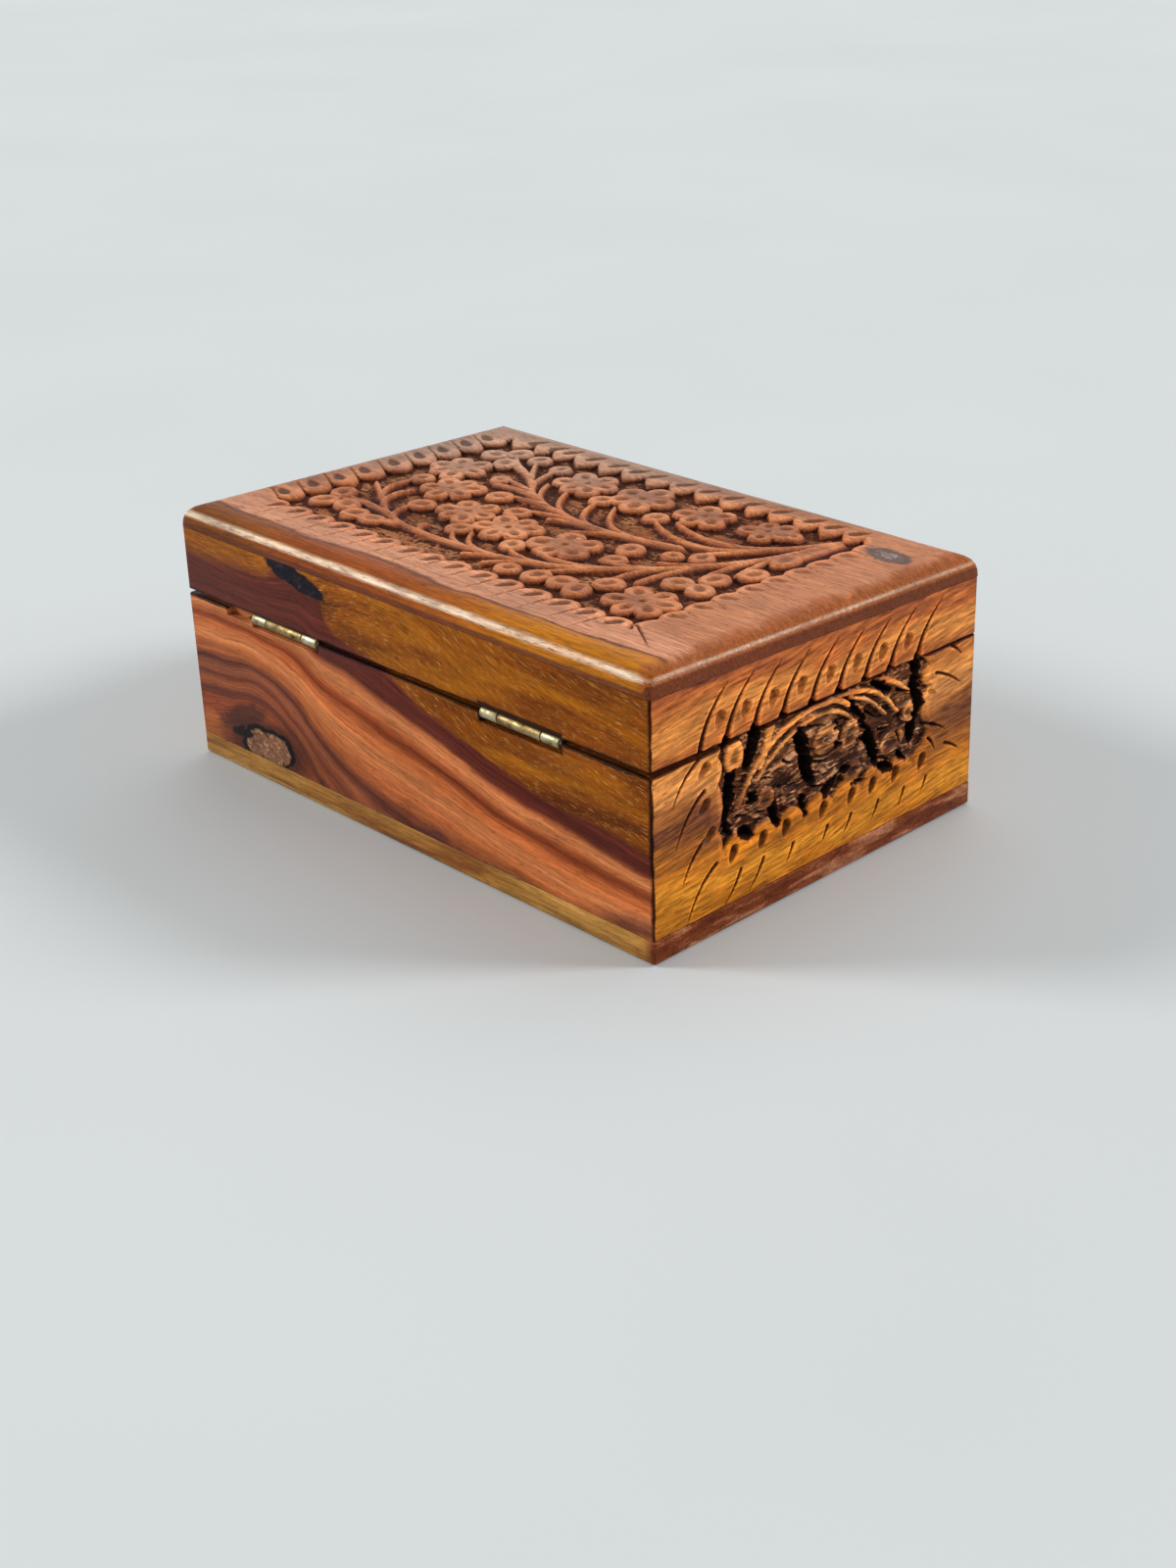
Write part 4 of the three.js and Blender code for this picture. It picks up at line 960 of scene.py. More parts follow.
def wood(name, figure, long, rest, streaks, fibre, sheen, carved=False):
    """Sheesham rosewood, planed and rubbed with oil: open pores in short dashes along the grain,
    fine streaks, and a satin skin that is duller in the pores. Where it is carved, the hollows are
    darker and redder, partly staining and partly painted shade, the crests get a painted highlight,
    the ground is rough and matt, the knife cuts are painted near black for staining and their
    shade, and the pits black for their shadow."""
    material, tree, place = begin(name)
    colour, grain, polish = figure(tree, place)
    streak, fine, dash = (
        lumps(tree, grain, [length if axis == long else width for axis in "xyz"], *kind)
        for length, width, kind in ((STREAK_LENGTH, STREAK_WIDTH, (5, 0.65, 0.15, 3.1)),
                                    (FIBRE_LENGTH, FIBRE_WIDTH + fibre, (3, 0.65, 0, 7.7)),
                                    (PORE_LENGTH, PORE_WIDTH, (2, 0.5, 0, 12.9))))
    cloud = lumps(tree, place, (17, 13, 11), 3, 0.55, 0.3, 5.5)
    pores = add(tree, "MapRange", {"Value": dash, "From Min": 0.6, "From Max": 0.7})
    shade = 1.0
    for noise, swing in ((streak, streaks), (fine, fibre), (cloud, 0.1)):
        tone = add(tree, "MapRange", {"Value": noise, "From Min": 0.3, "From Max": 0.7,
                                      "To Min": 1 - swing, "To Max": 1 + swing}, clamp=False)
        shade = add(tree, "Math", {0: shade, 1: tone}, operation="MULTIPLY")
    colour = add(tree, "VectorMath", {0: colour, "Scale": shade}, operation="SCALE")
    dark = add(tree, "VectorMath", {0: colour, 1: PORE_TINT}, operation="MULTIPLY")
    colour = add(tree, "Mix", {0: pores, 6: colour, 7: dark}, out=2, data_type="RGBA")
    skin = add(tree, "Math", {0: pores, 1: 0.25, 2: rest}, operation="MULTIPLY_ADD")
    if polish is not None:
        skin = add(tree, "Math", {0: polish, 1: -0.13, 2: skin}, operation="MULTIPLY_ADD")
    height = add(tree, "Math", {0: fine, 1: pores}, operation="SUBTRACT")
    if carved:
        depth, hollow, cut, ground = (add(tree, "Attribute", out="Fac", attribute_name=layer)
                                      for layer in ("depth", "hollow", "cut", "ground"))
        colour = carved_tints(tree, colour, place, depth, hollow, cut, ground)
        low = add(tree, "MapRange", {"Value": depth, "From Min": 0.25, "From Max": 0.9,
                                     "To Max": 0.3})
        skin = add(tree, "Math", {0: low, 1: skin}, operation="ADD")
        stabs = lumps(tree, place, (0.5, 0.5, 0.5), 3, 0.6, 0, 2.2)
        rough_ground = add(tree, "Math", {0: stabs, 1: ground}, operation="MULTIPLY")
        height = add(tree, "Math", {0: rough_ground, 1: 1.6, 2: height}, operation="MULTIPLY_ADD")
    bump = add(tree, "Bump", {"Height": height, "Strength": 0.55, "Distance": 0.12 * MM})
    shader = add(tree, "BsdfPrincipled", {"Base Color": colour, "Roughness": skin, "Normal": bump,
                                          "IOR": 1.5, "Specular IOR Level": sheen})
    add(tree, "OutputMaterial", {"Surface": shader})
    return material


def carved_tints(tree, colour, place, depth, hollow, cut, ground):
    """Staining, dust and painted shade low in the ground, painted shade in the hollows, staining and
    painted shade in the cuts, a painted highlight on the crests, and painted black shadow in the pits
    """
    speck = lumps(tree, place, (1.3, 0.8, 0.8), 3, 0.65, 0.4, 23.1)
    speck = add(tree, "MapRange", {"Value": speck, "From Min": 0.46, "From Max": 0.6})
    for layer in (ground, depth):
        speck = add(tree, "Math", {0: speck, 1: layer}, operation="MULTIPLY")
    # Deep places darker and redder, partly staining and partly painted shade; dust specks low down;
    # painted shade in hollows; a painted highlight on crests; staining and painted shade in cuts
    for value, start, full, most, tint in ((depth, 0.16, 0.62, 0.92, (0.56, 0.35, 0.21)),
                                           (speck, 0.3, 0.8, 0.7, (0.36, 0.26, 0.22)),
                                           (hollow, 0.55, 0.76, 0.97, (0.18, 0.085, 0.05)),
                                           (hollow, 0.46, 0.24, 0.8, (1.62, 1.56, 1.54)),
                                           (cut, 0.0, 1.0, 0.97, (0.08, 0.035, 0.025))):
        tinted = add(tree, "VectorMath", {0: colour, 1: tint}, operation="MULTIPLY")
        colour = over(tree, colour, tinted, value, start, full, most)
    # Painted black shadow down in the torn pits and notches
    return over(tree, colour, "#080302", depth, 1.15, 1.45, 0.95)


def knot(tree, x, y, at, half, slant, wobble):
    """How far out from a knot's middle a place lies: 1 on its rim"""
    dx = add(tree, "Math", {0: x, 1: at[0]}, operation="SUBTRACT")
    dy = add(tree, "Math", {0: y, 1: at[1]}, operation="SUBTRACT")
    dy = add(tree, "Math", {0: dx, 1: slant, 2: dy}, operation="MULTIPLY_ADD")
    across, up = (add(tree, "Math", {0: off, 1: 1 / size}, operation="MULTIPLY")
                  for off, size in zip((dx, dy), half))
    both = add(tree, "CombineXYZ", {0: across, 1: up})
    away = add(tree, "VectorMath", {0: both}, out=1, operation="LENGTH")
    warp = add(tree, "MapRange", {"Value": wobble, "To Min": -0.55, "To Max": 0.55})
    return add(tree, "Math", {0: away, 1: warp}, operation="ADD")


# Each figure below gives the wood's colour, the place that its fine grain reads, and its polish.

# The back's figure is drawn by the edges of its bands: heights as shares of FIGURE_HEIGHT, at shares
# of the length from one end to the other.
FIGURE_END = 78.0
FIGURE_HEIGHT = 65.0
SAP_EDGE = [
    (0, 0.77), (0.13, 0.78), (0.215, 0.79), (0.235, 0.83), (0.33, 0.83), (0.35, 0.72),
    (0.385, 0.67), (0.474, 0.625), (0.577, 0.54), (0.673, 0.477), (0.77, 0.415), (0.9, 0.385),
    (1, 0.37),
]
BAND_EDGE = [
    (0, 0.636), (0.19, 0.636), (0.28, 0.622), (0.327, 0.577), (0.449, 0.54), (0.577, 0.477),
    (0.705, 0.392), (0.833, 0.346), (1, 0.308),
]
FLOW_FOOT = [
    (0, 0.4), (0.09, 0.42), (0.17, 0.44), (0.256, 0.37), (0.32, 0.26), (0.397, 0.17), (0.51, 0.11),
    (0.64, 0.07), (0.77, 0.05), (1, 0.03),
]
FLOW_DEPTH = 22.0


def back_figure(tree, place):
    """Orange-red heartwood that flows down from a knot, a purple band, and golden sapwood above it
    with an ink-dark scar. The fine grain runs with the bands."""
    x, y, z = (add(tree, "SeparateXYZ", {0: place}, out=axis) for axis in "XYZ")
    along = add(tree, "MapRange", {"Value": x, "From Min": FIGURE_END, "From Max": -FIGURE_END})
    sap_edge, band_edge, foot = (add(tree, "FloatCurve", {"Value": along}, curve=points)
                                 for points in (SAP_EDGE, BAND_EDGE, FLOW_FOOT))
    ripple = lumps(tree, place, (30, 21, 10), 3, 0.5, 0, 1.3)
    ripple = add(tree, "MapRange", {"Value": ripple, "To Min": -2.3, "To Max": 2.3})
    height = add(tree, "Math", {0: z, 1: ripple}, operation="ADD")
    level = add(tree, "Math", {0: height, 1: 1 / FIGURE_HEIGHT}, operation="MULTIPLY")
    rise = add(tree, "Math", {0: level, 1: foot}, operation="SUBTRACT")
    span = add(tree, "Math", {0: band_edge, 1: foot}, operation="SUBTRACT")
    flow = add(tree, "Math", {0: rise, 1: span}, operation="DIVIDE")
    flown = add(tree, "Math", {0: flow, 1: FLOW_DEPTH}, operation="MULTIPLY")
    grain = add(tree, "CombineXYZ", {0: x, 1: y, 2: flown})
    lines = lumps(tree, grain, (48, 30, 1.3), 6, 0.75, 0.1, 2.6)
    wobble = lumps(tree, place, (7, 7, 5), 4, 0.6, 0.4, 9.1)
    speckle = lumps(tree, place, (1.6, 1.6, 1.3), 4, 0.7, 0.8, 3.3)
    colour = back_knots(tree, heartwood(tree, flow, lines), place, x, z, wobble, speckle)

    over_band = add(tree, "Math", {0: level, 1: band_edge}, operation="SUBTRACT")
    purple = add(tree, "ValToRGB", {0: lines}, stops=[
        (0.32, "#4A1A12"), (0.5, "#62261A"), (0.66, "#783426")])
    colour = over(tree, colour, purple, over_band, -0.028, 0.008)
    over_sap = add(tree, "Math", {0: level, 1: sap_edge}, operation="SUBTRACT")
    smoky = add(tree, "MapRange", {"Value": x, "From Min": 30.0, "From Max": 48.0, "To Min": 0.016,
                                   "To Max": 0.07})
    sweep = lumps(tree, place, (40, 20, 6), 3, 0.5, 0.5, 4.2)
    sap = add(tree, "ValToRGB", {0: sweep}, stops=[
        (0.3, "#642C02"), (0.5, "#8C4603"), (0.7, "#B26604")])
    filled = lumps(tree, grain, (2.2, 0.25, 0.25), 2, 0.5, 0, 20.3)
    sap = over(tree, sap, "#C8924A", filled, 0.58, 0.68, 0.65, even=True)
    colour = over(tree, colour, sap, over_sap, -0.012, smoky)
    scar = knot(tree, x, z, (33.2, 54.6), (11.0, 2.6), -0.2, wobble)
    ink = add(tree, "ValToRGB", {0: speckle}, stops=[
        (0.42, "#0C0810"), (0.6, "#1A1220"), (0.68, "#4C4048")])
    colour = over(tree, colour, ink, scar, 1.02, 0.9, even=True)
    return joints_and_gap_shade(tree, colour, x, y, z, wobble), grain, None


def heartwood(tree, flow, lines):
    band = add(tree, "MapRange", {"Value": flow, "From Min": -1.2, "From Max": 1.05})
    heart = add(tree, "ValToRGB", {0: band}, stops=[
        (0.0, "#A65332"), (0.2, "#93482B"), (0.27, "#623028"), (0.33, "#A45A3A"), (0.4, "#763A2C"),
        (0.46, "#9E5A3E"), (0.53, "#623028"), (0.58, "#A85C38"), (0.63, "#CC7444"),
        (0.70, "#DC8858"), (0.76, "#CE7444"), (0.81, "#B86036"), (0.84, "#7E3519"),
        (0.87, "#B25E36"), (0.92, "#DA8858"), (0.97, "#C06C42"), (1.0, "#7C3E2A")])
    veins = add(tree, "MapRange", {"Value": lines, "From Min": 0.32, "From Max": 0.68,
                                   "To Min": 0.62, "To Max": 1.28}, clamp=False)
    heart = add(tree, "VectorMath", {0: heart, "Scale": veins}, operation="SCALE")
    return add(tree, "VectorMath", {0: heart, 1: (1.08, 1.02, 0.84)}, operation="MULTIPLY")


def back_knots(tree, heart, place, x, z, wobble, speckle):
    """A warm wedge at the foot, a dark plume over the knot, the knot with its bark and pale eye, a
    black point beside it, and two dark feathers further along the foot"""
    wedge = knot(tree, x, z, (76.0, 6.0), (10.5, 6.0), 0.35, wobble)
    heart = over(tree, heart, "#B4622F", wedge, 1.05, 0.85, 0.9, even=True)
    flame = lumps(tree, place, (5, 5, 3.2), 4, 0.65, 1.2, 21.7)
    plume = knot(tree, x, z, (58.6, 14.4), (10.6, 3.8), 0.37, flame)
    heart = over(tree, heart, "#48221E", plume, 1.1, 0.6, 0.8)
    ring = knot(tree, x, z, (50.4, 8.9), (10.6, 4.9), 0.04, wobble)
    eye = add(tree, "ValToRGB", {0: speckle}, stops=[
        (0.34, "#4E2E22"), (0.44, "#96684C"), (0.52, "#7C5038"), (0.58, "#B48260"),
        (0.68, "#CEA27C")])
    bark = add(tree, "ValToRGB", {0: ring}, stops=[(0.74, "#000000"), (0.82, "#FFFFFF")])
    eye = add(tree, "Mix", {0: bark, 6: eye, 7: "#0C0505"}, out=2, data_type="RGBA")
    heart = over(tree, heart, "#52281F", ring, 2.0, 1.05)
    heart = over(tree, heart, eye, ring, 1.08, 1.0, even=True)
    point = knot(tree, x, z, (59.4, 9.9), (5.4, 1.3), 0.12, wobble)
    heart = over(tree, heart, "#140809", point, 1.1, 0.8, even=True)
    for at, half, tint in (((-9.5, 6.8), (6.0, 2.2), "#5E3426"),
                           ((-71.0, 7.0), (17.0, 3.0), "#562A26")):
        feather = knot(tree, x, z, at, half, 0.1, wobble)
        heart = over(tree, heart, tint, feather, 1.2, 0.3, 0.8, even=True)
    return heart


def joints_and_gap_shade(tree, colour, x, y, z, wobble):
    """The mitred corners, dark with old polish, and painted shade along the open seam and round one
    mortise's rim
    """
    uneven = add(tree, "MapRange", {"Value": wobble, "From Min": 0.3, "From Max": 0.7,
                                    "To Min": -0.25, "To Max": 0.25})
    from_middle = add(tree, "Math", {0: distance(tree, x), 1: uneven}, operation="ADD")
    corner = add(tree, "MapRange", {"Value": from_middle, "From Min": LENGTH / 2 - 0.75,
                                    "From Max": LENGTH / 2 - 0.25})
    # Painted shade along the open seam
    from_seam = add(tree, "Math", {0: distance(tree, z, BASE_TOP + GAP_AT_BACK / 2), 1: uneven},
                    operation="ADD")
    line = add(tree, "MapRange", {"Value": from_seam, "From Min": 1.15, "From Max": 0.8})
    line = add(tree, "Math", {0: corner, 1: line}, operation="MAXIMUM")
    # Painted shadow round the rim of one hinge mortise
    mortise = 1.0
    for value, start, full in ((distance(tree, x, -HINGE_SPACING / 2), 12.9, 12.4),
                               (z, 38.3, 38.7), (z, 43.4, 43.0)):
        within = add(tree, "MapRange", {"Value": value, "From Min": start, "From Max": full})
        mortise = add(tree, "Math", {0: mortise, 1: within}, operation="MULTIPLY")
    line = add(tree, "Math", {0: line, 1: mortise}, operation="MAXIMUM")
    outside = add(tree, "MapRange", {"Value": y, "From Min": WIDTH / 2 - 1.4,
                                     "From Max": WIDTH / 2 - 0.8, "To Max": 0.9})
    line = add(tree, "Math", {0: line, 1: outside}, operation="MULTIPLY")
    return add(tree, "Mix", {0: line, 6: colour, 7: "#0E0504"}, out=2, data_type="RGBA")


def end_figure(tree, place):
    """Golden-orange sapwood with a purple-brown band half way up, over a yellower foot. The fibres
    rise towards the front of the box, more in some places than in others, and the carved ground is
    grey-brown with pale chips."""
    x, y, z = (add(tree, "SeparateXYZ", {0: place}, out=axis) for axis in "XYZ")
    sway = lumps(tree, place, (60, 44, 26), 1, 0.5, 0, 19.0)
    sway = add(tree, "MapRange", {"Value": sway, "From Min": 0.3, "From Max": 0.7,
                                  "To Min": -1.2, "To Max": 1.2})
    risen = add(tree, "Math", {0: y, 1: 0.12, 2: z}, operation="MULTIPLY_ADD")
    risen = add(tree, "Math", {0: risen, 1: sway}, operation="ADD")
    grain = add(tree, "CombineXYZ", {0: x, 1: y, 2: risen})
    drift = lumps(tree, place, (30, 24, 5), 5, 0.6, 0.3, 6.4)
    lift = add(tree, "MapRange", {"Value": drift, "To Min": -9.0, "To Max": 9.0})
    height = add(tree, "Math", {0: z, 1: lift}, operation="ADD")
    height = add(tree, "Math", {0: y, 1: -0.03, 2: height}, operation="MULTIPLY_ADD")
    level = add(tree, "MapRange", {"Value": height, "From Min": 4.0, "From Max": 60.0})
    colour = add(tree, "ValToRGB", {0: level}, stops=[
        (0.0, "#BE6C14"), (0.12, "#E09028"), (0.2, "#CE7A20"), (0.28, "#B06622"),
        (0.34, "#945424"), (0.39, "#784228"), (0.44, "#A4602E"), (0.52, "#E49450"),
        (0.6, "#E89446"), (0.68, "#BE662E"), (0.78, "#E08E44"), (0.86, "#CC7034"),
        (0.93, "#A4542E"), (0.97, "#743624"), (1.0, "#743624")])
    aged = lumps(tree, place, (4.5, 4.5, 1.4), 5, 0.7, 0.8, 17.2)
    grey = add(tree, "ValToRGB", {0: aged}, stops=[
        (0.42, "#1E0F0A"), (0.52, "#4E3022"), (0.585, "#DCB088")])
    ground, depth = (add(tree, "Attribute", out="Fac", attribute_name=layer)
                     for layer in ("ground", "depth"))
    deep = add(tree, "MapRange", {"Value": depth, "From Min": 0.15, "From Max": 0.4,
                                  "To Max": 0.85})
    share = add(tree, "Math", {0: ground, 1: deep}, operation="MULTIPLY")
    return add(tree, "Mix", {0: share, 6: colour, 7: grey}, out=2, data_type="RGBA"), grain, None


def front_figure(tree, place):
    """The same timber as the ends, redder"""
    colour = end_figure(tree, place)[0]
    colour = add(tree, "VectorMath", {0: colour, 1: (0.92, 0.8, 0.85)}, operation="MULTIPLY")
    return colour, place, None


def top_figure(tree, place):
    """Pinkish tan heartwood, paler and greyer to one corner where a sheen is painted in, with golden
    sapwood behind a dark line along the back edge, a dark strip low on that edge, a painted
    highlight along the rounded edges, and a grey knot at one corner"""
    x, y, z = (add(tree, "SeparateXYZ", {0: place}, out=axis) for axis in "XYZ")
    drift = lumps(tree, place, (34, 9, 12), 4, 0.55, 0.4, 8.3)
    colour = add(tree, "ValToRGB", {0: drift}, stops=[
        (0.3, "#8C5132"), (0.5, "#A96841"), (0.7, "#C48155")])
    sway = add(tree, "MapRange", {"Value": drift, "To Min": -4.5, "To Max": 4.5})
    away = add(tree, "Math", {0: x, 1: -0.55, 2: y}, operation="MULTIPLY_ADD")
    reach = add(tree, "MapRange", {"Value": x, "From Min": FIGURE_END, "From Max": -FIGURE_END})
    golden = add(tree, "ValToRGB", {0: reach}, stops=[
        (0.0, "#7E4208"), (0.2, "#8A480C"), (0.28, "#94460E"), (0.5, "#9C4C10"), (0.62, "#A85A0E"),
        (0.75, "#BE720C"), (1.0, "#C07412")])
    toward = add(tree, "Math", {0: y, 1: sway}, operation="ADD")
    end = add(tree, "Math", {0: x, 1: sway}, operation="ADD")
    fall = -(RAIL_AT_BACK - RAIL_AT_FRONT + GAP_AT_BACK) / WIDTH
    under = add(tree, "Math", {0: y, 1: fall, 2: z}, operation="MULTIPLY_ADD")
    cut_short = add(tree, "MapRange", {"Value": x, "From Min": -74.6, "From Max": -74.0,
                                       "To Max": 1.4})
    strip = add(tree, "Math", {0: under, 1: cut_short}, operation="ADD")
    # The first overlay is a painted sheen, grey towards one corner; the others are the wood's colours
    for value, start, full, most, other in (
            (away, -20.0, -58.0, 0.65, "#A08371"), (x, -40.0, -66.0, 0.6, "#CC8054"),
            (toward, 28.0, 38.0, 0.7, "#D3906D"), (toward, 42.0, 43.2, 1.0, "#6A3216"),
            (toward, 43.2, 44.2, 1.0, golden), (end, -70.0, -73.0, 0.85, "#A3541F"),
            (strip, 58.3, 57.6, 0.85, "#6A321C")):
        colour = over(tree, colour, other, value, start, full, most)
    wobble = lumps(tree, place, (3.2, 2.4, 3), 4, 0.65, 0.5, 2.9)
    ring = knot(tree, x, y, (-63.6, -34.6), (6.4, 3.6), 0.12, wobble)
    swirl = lumps(tree, place, (2.6, 1.1, 2), 4, 0.7, 1.6, 6.0)
    rings = add(tree, "Math", {0: swirl, 1: 0.9, 2: ring}, operation="MULTIPLY_ADD")
    eye = add(tree, "ValToRGB", {0: rings}, stops=[
        (0.35, "#BCA89E"), (0.5, "#5C4846"), (0.66, "#AA968C"), (0.82, "#33262A"),
        (1.0, "#846C66"), (1.2, "#4E3A36")])
    colour = over(tree, colour, eye, ring, 1.1, 0.85, 0.9, even=True)
    # A painted highlight along the rounded edges
    colour = painted_edge_highlight(tree, colour, place, x, under, drift)

    beyond_x, beyond_y = (add(tree, "Math", {0: distance(tree, a), 1: b / 2}, operation="SUBTRACT")
                          for a, b in ((x, LENGTH), (y, WIDTH)))
    edge = add(tree, "Math", {0: beyond_x, 1: beyond_y}, operation="MAXIMUM")
    polish = add(tree, "MapRange", {"Value": edge, "From Min": -TOP_ROUND, "From Max": -3.5})
    return colour, place, polish


def painted_edge_highlight(tree, colour, place, x, under, drift):
    """A painted highlight: a pale grainy band along the rounded edges, just below the level of the
    top
    """
    share = 1.0
    for corner, along, sign in ((59.2, 59.6, 1), (58.4, 57.8, -1)):
        bound = add(tree, "MapRange", {"Value": x, "From Min": -74.0, "From Max": -71.0,
                                       "To Min": corner, "To Max": along})
        inside = add(tree, "Math", {0: bound, 1: under}, operation="SUBTRACT")
        within = add(tree, "MapRange", {"Value": inside, "From Min": 0.0, "From Max": 0.6 * sign})
        share = add(tree, "Math", {0: share, 1: within}, operation="MULTIPLY")
    # The painted highlight is patchy with the grain
    rub = lumps(tree, place, (8, 2.4, 1.0), 5, 0.75, 0.3, 15.0)
    worn = add(tree, "Math", {0: drift, 1: rub}, operation="ADD")
    patchy = add(tree, "MapRange", {"Value": worn, "From Min": 0.8, "From Max": 1.12,
                                    "To Min": 0.3, "To Max": 1.0})
    share = add(tree, "Math", {0: share, 1: patchy}, operation="MULTIPLY")
    return add(tree, "Mix", {0: share, 6: colour, 7: "#FAD8B2"}, out=2, data_type="RGBA")


def bottom_figure(tree, place):
    """A plain board of golden brown with a dark red end that has pinkish streaks"""
    x = add(tree, "SeparateXYZ", {0: place}, out="X")
    sweep = lumps(tree, place, (42, 9, 6), 4, 0.6, 0.5, 14.0)
    colour = add(tree, "ValToRGB", {0: sweep}, stops=[
        (0.3, "#8C5226"), (0.5, "#B07C38"), (0.7, "#D09A52")])
    streak = lumps(tree, place, (20, 14, 2.5), 4, 0.6, 0.6, 11.0)
    dark = add(tree, "ValToRGB", {0: streak}, stops=[
        (0.35, "#642A14"), (0.5, "#864220"), (0.64, "#BC7C58")])
    return over(tree, colour, dark, x, -73.0, -75.2, even=True), place, None


def aged_brass(name, brown, body, worn):
    """Cast brass hinges, dulled to a straw colour with brown in the corners, worn bright in spots"""
    material, tree, place = begin(name)
    patches = lumps(tree, place, (2.4, 1.6, 1.6), 4, 0.6, 0.3, 1.1)
    colour = add(tree, "ValToRGB", {0: patches}, stops=[(0.3, brown), (0.48, body), (0.72, worn)])
    dull = add(tree, "MapRange", {"Value": patches, "From Min": 0.35, "From Max": 0.7,
                                  "To Min": 0.58, "To Max": 0.3})
    scratch = lumps(tree, place, (0.25, 3.0, 3.0), 2, 0.5, 0, 4.4)
    bump = add(tree, "Bump", {"Height": scratch, "Strength": 0.25, "Distance": 0.05 * MM})
    shader = add(tree, "BsdfPrincipled", {"Base Color": colour, "Metallic": 1.0, "Roughness": dull,
                                          "Normal": bump})
    add(tree, "OutputMaterial", {"Surface": shader})
    return material


def plated_steel(name):
    """Turned steel screws, thinly plated: grey, in soft patches, with a warm tarnish"""
    material, tree, place = begin(name)
    patches = lumps(tree, place, (1.2, 1.2, 1.2), 3, 0.6, 0.2, 8.8)
    colour = add(tree, "ValToRGB", {0: patches}, stops=[
        (0.3, "#5A4A38"), (0.5, "#8C8474"), (0.7, "#B4AFA4")])
    dull = add(tree, "MapRange", {"Value": patches, "From Min": 0.3, "From Max": 0.7,
                                  "To Min": 0.5, "To Max": 0.28})
    shader = add(tree, "BsdfPrincipled", {"Base Color": colour, "Metallic": 1.0, "Roughness": dull})
    add(tree, "OutputMaterial", {"Surface": shader})
    return material


def pale_paper(name):
    """Matt paper sweep: an even pale grey with a trace of mottling"""
    material, tree, place = begin(name)
    mottle = lumps(tree, place, (160, 160, 160), 2, 0.5, 0, 0.5)
    colour = add(tree, "ValToRGB", {0: mottle}, stops=[(0.3, "#D0D4D5"), (0.7, "#D4D8D9")])
    shader = add(tree, "BsdfPrincipled", {"Base Color": colour, "Roughness": 0.9})
    add(tree, "OutputMaterial", {"Surface": shader})
    return material


# The pieces

top_wood = wood("rosewood_top_carved_and_oiled", top_figure, "x", rest=0.34, streaks=0.26,
                fibre=0.32, sheen=0.11, carved=True)
end_wood = wood("rosewood_end_sawn_and_carved", end_figure, "y", rest=0.42, streaks=0.4,
                fibre=0.52, sheen=0.09, carved=True)
front_wood = wood("rosewood_front_sawn_and_carved", front_figure, "x", rest=0.42, streaks=0.32,
                  fibre=0.32, sheen=0.09, carved=True)
back_wood = wood("rosewood_back_planed_and_polished", back_figure, "x", rest=0.3, streaks=0.26,
                 fibre=0.24, sheen=0.07)
bottom_wood = wood("rosewood_bottom_planed_and_polished", bottom_figure, "x", rest=0.36,
                   streaks=0.34, fibre=0.3, sheen=0.09)
brass = aged_brass("brass_cast_and_polished", "#62502F", "#ADA07A", "#D6CFB6")
brown_brass = aged_brass("brass_cast_and_tarnished", "#4C3A1B", "#927A4F", "#C0AC80")
steel = plated_steel("steel_turned_and_plated")

wear(top_board(), top_wood, "lid", "carved_wood", "lid_top_board")

end_rail = RAIL_AT_BACK - (RAIL_AT_BACK - RAIL_AT_FRONT) / 2
slope = (RAIL_AT_BACK - RAIL_AT_FRONT) / WIDTH
for name, side, body, height, carve, fall, seed in (
        ("left_end", LEFT, "base", WALL_HEIGHT, carve_end, 0, 61),
        ("right_end", RIGHT, "base", WALL_HEIGHT, carve_right_end, 0, 63),
        ("front", FRONT, "base", WALL_HEIGHT, carve_front, 0, 65),
        ("lid_left", LEFT, "lid", end_rail, carve_end_rail, -slope, 67),
        ("lid_right", RIGHT, "lid", end_rail, carve_end_rail, slope, 69),
        ("lid_front", FRONT, "lid", RAIL_AT_FRONT, carve_front_rail, 0, 71)):
    piece = mitred_board(name + "_board", side, body == "lid", height, carve, seed, fall)
    wear(piece, front_wood if side is FRONT else end_wood, body, "carved_wood",
         name + ("_rail" if body == "lid" else "_wall"))

for node, body, material in (("back_wall", "base", back_wood), ("lid_back_rail", "lid", back_wood),
                             ("bottom_board", "base", bottom_wood)):
    wear(eased_copy(node + "_eased", node, ARRIS), material, body, "plain_wood", node)

half, middle = HINGE_LENGTH / 2, HINGE_LENGTH / 2 - OUTER_KNUCKLE
for side, x in (("left", -HINGE_SPACING / 2), ("right", HINGE_SPACING / 2)):
    for body in ("base", "lid"):
        place = HINGE_LINE @ shift(x, 0, 0)
        knuckles = [(-half, -middle), (middle, half)]
        if body == "lid":
            place = LID_HINGE_LINE @ shift(x, 0, 0) @ turn(180, "Y")
            knuckles = [(-middle + KNUCKLE_GAP, middle - KNUCKLE_GAP)]
        stem = f"hinge_{side}_{body}"
        wear(hinge_leaf(stem + "_plate", knuckles, place), brass if body == "base" else brown_brass,
             body, "hinge_brass", stem + "_leaf")
        for number, along in ((1, -SCREW_SPACING / 2), (2, SCREW_SPACING / 2)):
            seat = place @ shift(along, -SCREW_FROM_AXIS, LEAF_THICKNESS - BARREL)
            slot_angle = 37 * number + x
            wear(slotted_screw(f"{stem}_slotted_{number}", seat @ turn(slot_angle, "Z")), steel,
                 body, "screw_steel", f"{stem}_screw_{number}")
    wear(hinge_pin(f"hinge_{side}_rod", HINGE_LINE @ shift(x, 0, 0)), brass, "base", "hinge_brass",
         f"hinge_{side}_pin")


# The studio: a pale paper floor, soft lamps and a camera that was fitted to the photograph

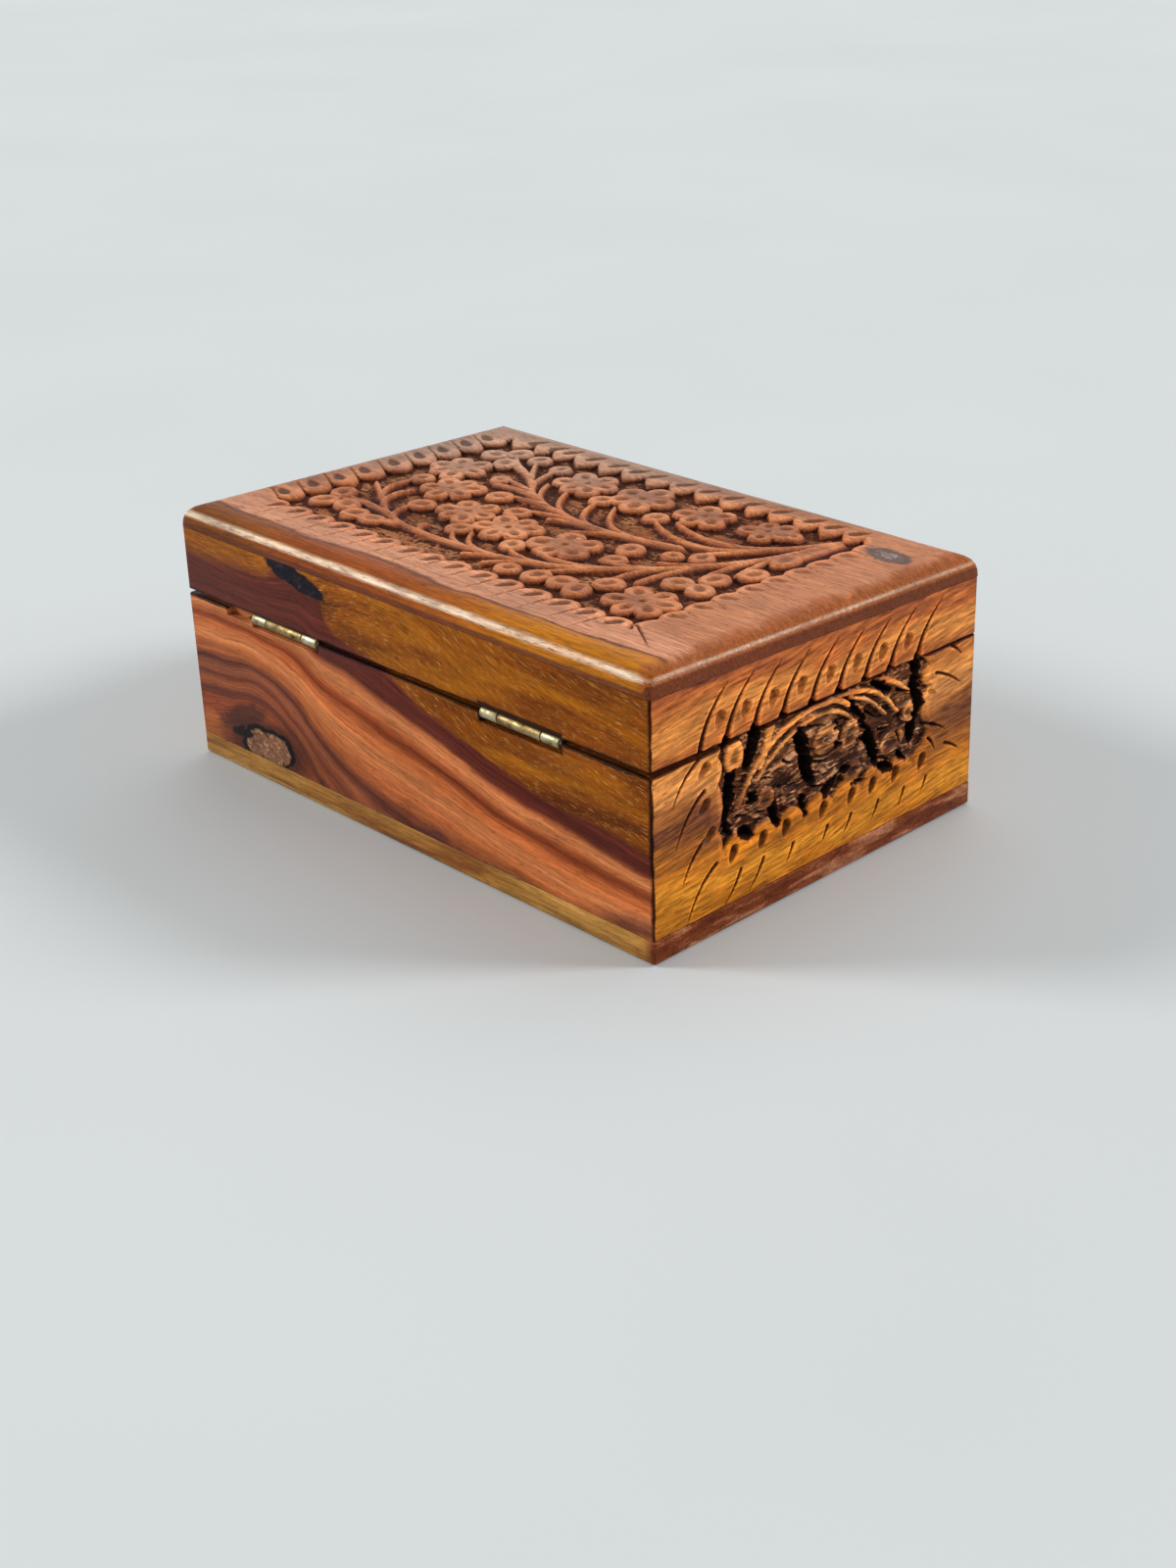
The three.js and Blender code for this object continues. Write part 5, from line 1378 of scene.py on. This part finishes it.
FLOOR_HALF = 6000
PHOTO_WIDTH = 1200
FOCAL_LENGTH_IN_PIXELS = 2322.85
SENSOR_WIDTH = 36
CAMERA_PLACE = (-352.99, 323.01, 226.07)
CAMERA_TURN = (-42.847, 25.498, -2.077)


def paper_floor():
    bm = bmesh.new()
    bmesh.ops.create_grid(bm, x_segments=8, y_segments=8, size=FLOOR_HALF)
    floor = solid("paper_floor", bm)
    floor.data.materials.append(pale_paper("paper_matt"))


def lamp(name, toward, strength, spread):
    """A large soft light far away, seen in that direction from the box"""
    data = bpy.data.lights.new(name, "SUN")
    data.energy, data.angle = strength, math.radians(spread)
    lit = bpy.data.objects.new(name, data)
    lit.matrix_world = Vector(toward).to_track_quat("Z", "Y").to_matrix().to_4x4()
    bpy.context.scene.collection.objects.link(lit)


def pale_world():
    """Soft light from all round. The camera, and whatever the metal and polish mirror, see a plain
    pale room."""
    world = bpy.data.worlds.new("pale_room")
    world.use_nodes = True
    tree = world.node_tree
    tree.nodes.clear()
    sky = add(tree, "Background", {"Color": "#EEF2F2", "Strength": 0.42})
    backdrop = add(tree, "Background", {"Color": "#DCE0E0", "Strength": 1.0})
    seen = 0.0
    for kind in ("Camera", "Glossy", "Transmission"):
        ray = add(tree, "LightPath", out=f"Is {kind} Ray")
        seen = add(tree, "Math", {0: seen, 1: ray}, operation="MAXIMUM")
    both = add(tree, "MixShader", {0: seen, 1: sky, 2: backdrop})
    add(tree, "OutputWorld", {"Surface": both})
    bpy.context.scene.world = world


def photo_camera():
    """The photograph's view: down across the back and the end at the far left"""
    yaw, pitch, roll = (math.radians(a) for a in CAMERA_TURN)
    level = math.cos(pitch)
    ahead = Vector((math.cos(yaw) * level, math.sin(yaw) * level, -math.sin(pitch)))
    right = Vector((math.sin(yaw), -math.cos(yaw), 0))
    up = right.cross(ahead)
    right_rolled = right * math.cos(roll) + up * math.sin(roll)
    up_rolled = up * math.cos(roll) - right * math.sin(roll)
    turned = Matrix((right_rolled, up_rolled, -ahead)).transposed().to_4x4()
    data = bpy.data.cameras.new("camera")
    data.sensor_fit, data.sensor_width, data.clip_start = "HORIZONTAL", SENSOR_WIDTH, 0.01
    data.lens = SENSOR_WIDTH * FOCAL_LENGTH_IN_PIXELS / PHOTO_WIDTH
    camera = bpy.data.objects.new("camera", data)
    camera.matrix_world = Matrix.Translation(Vector(CAMERA_PLACE) * MM) @ turned
    bpy.context.scene.collection.objects.link(camera)
    bpy.context.scene.camera = camera


paper_floor()
pale_world()
lamp("softbox_far_left", (0.667, 0.54, 0.47), 1.65, 16)
lamp("softbox_far_right", (-0.60, -0.61, 0.52), 1.6, 16)
lamp("softbox_above", (0.25, -0.45, 0.86), 0.55, 50)
photo_camera()
bpy.context.scene.view_settings.view_transform = "Standard"
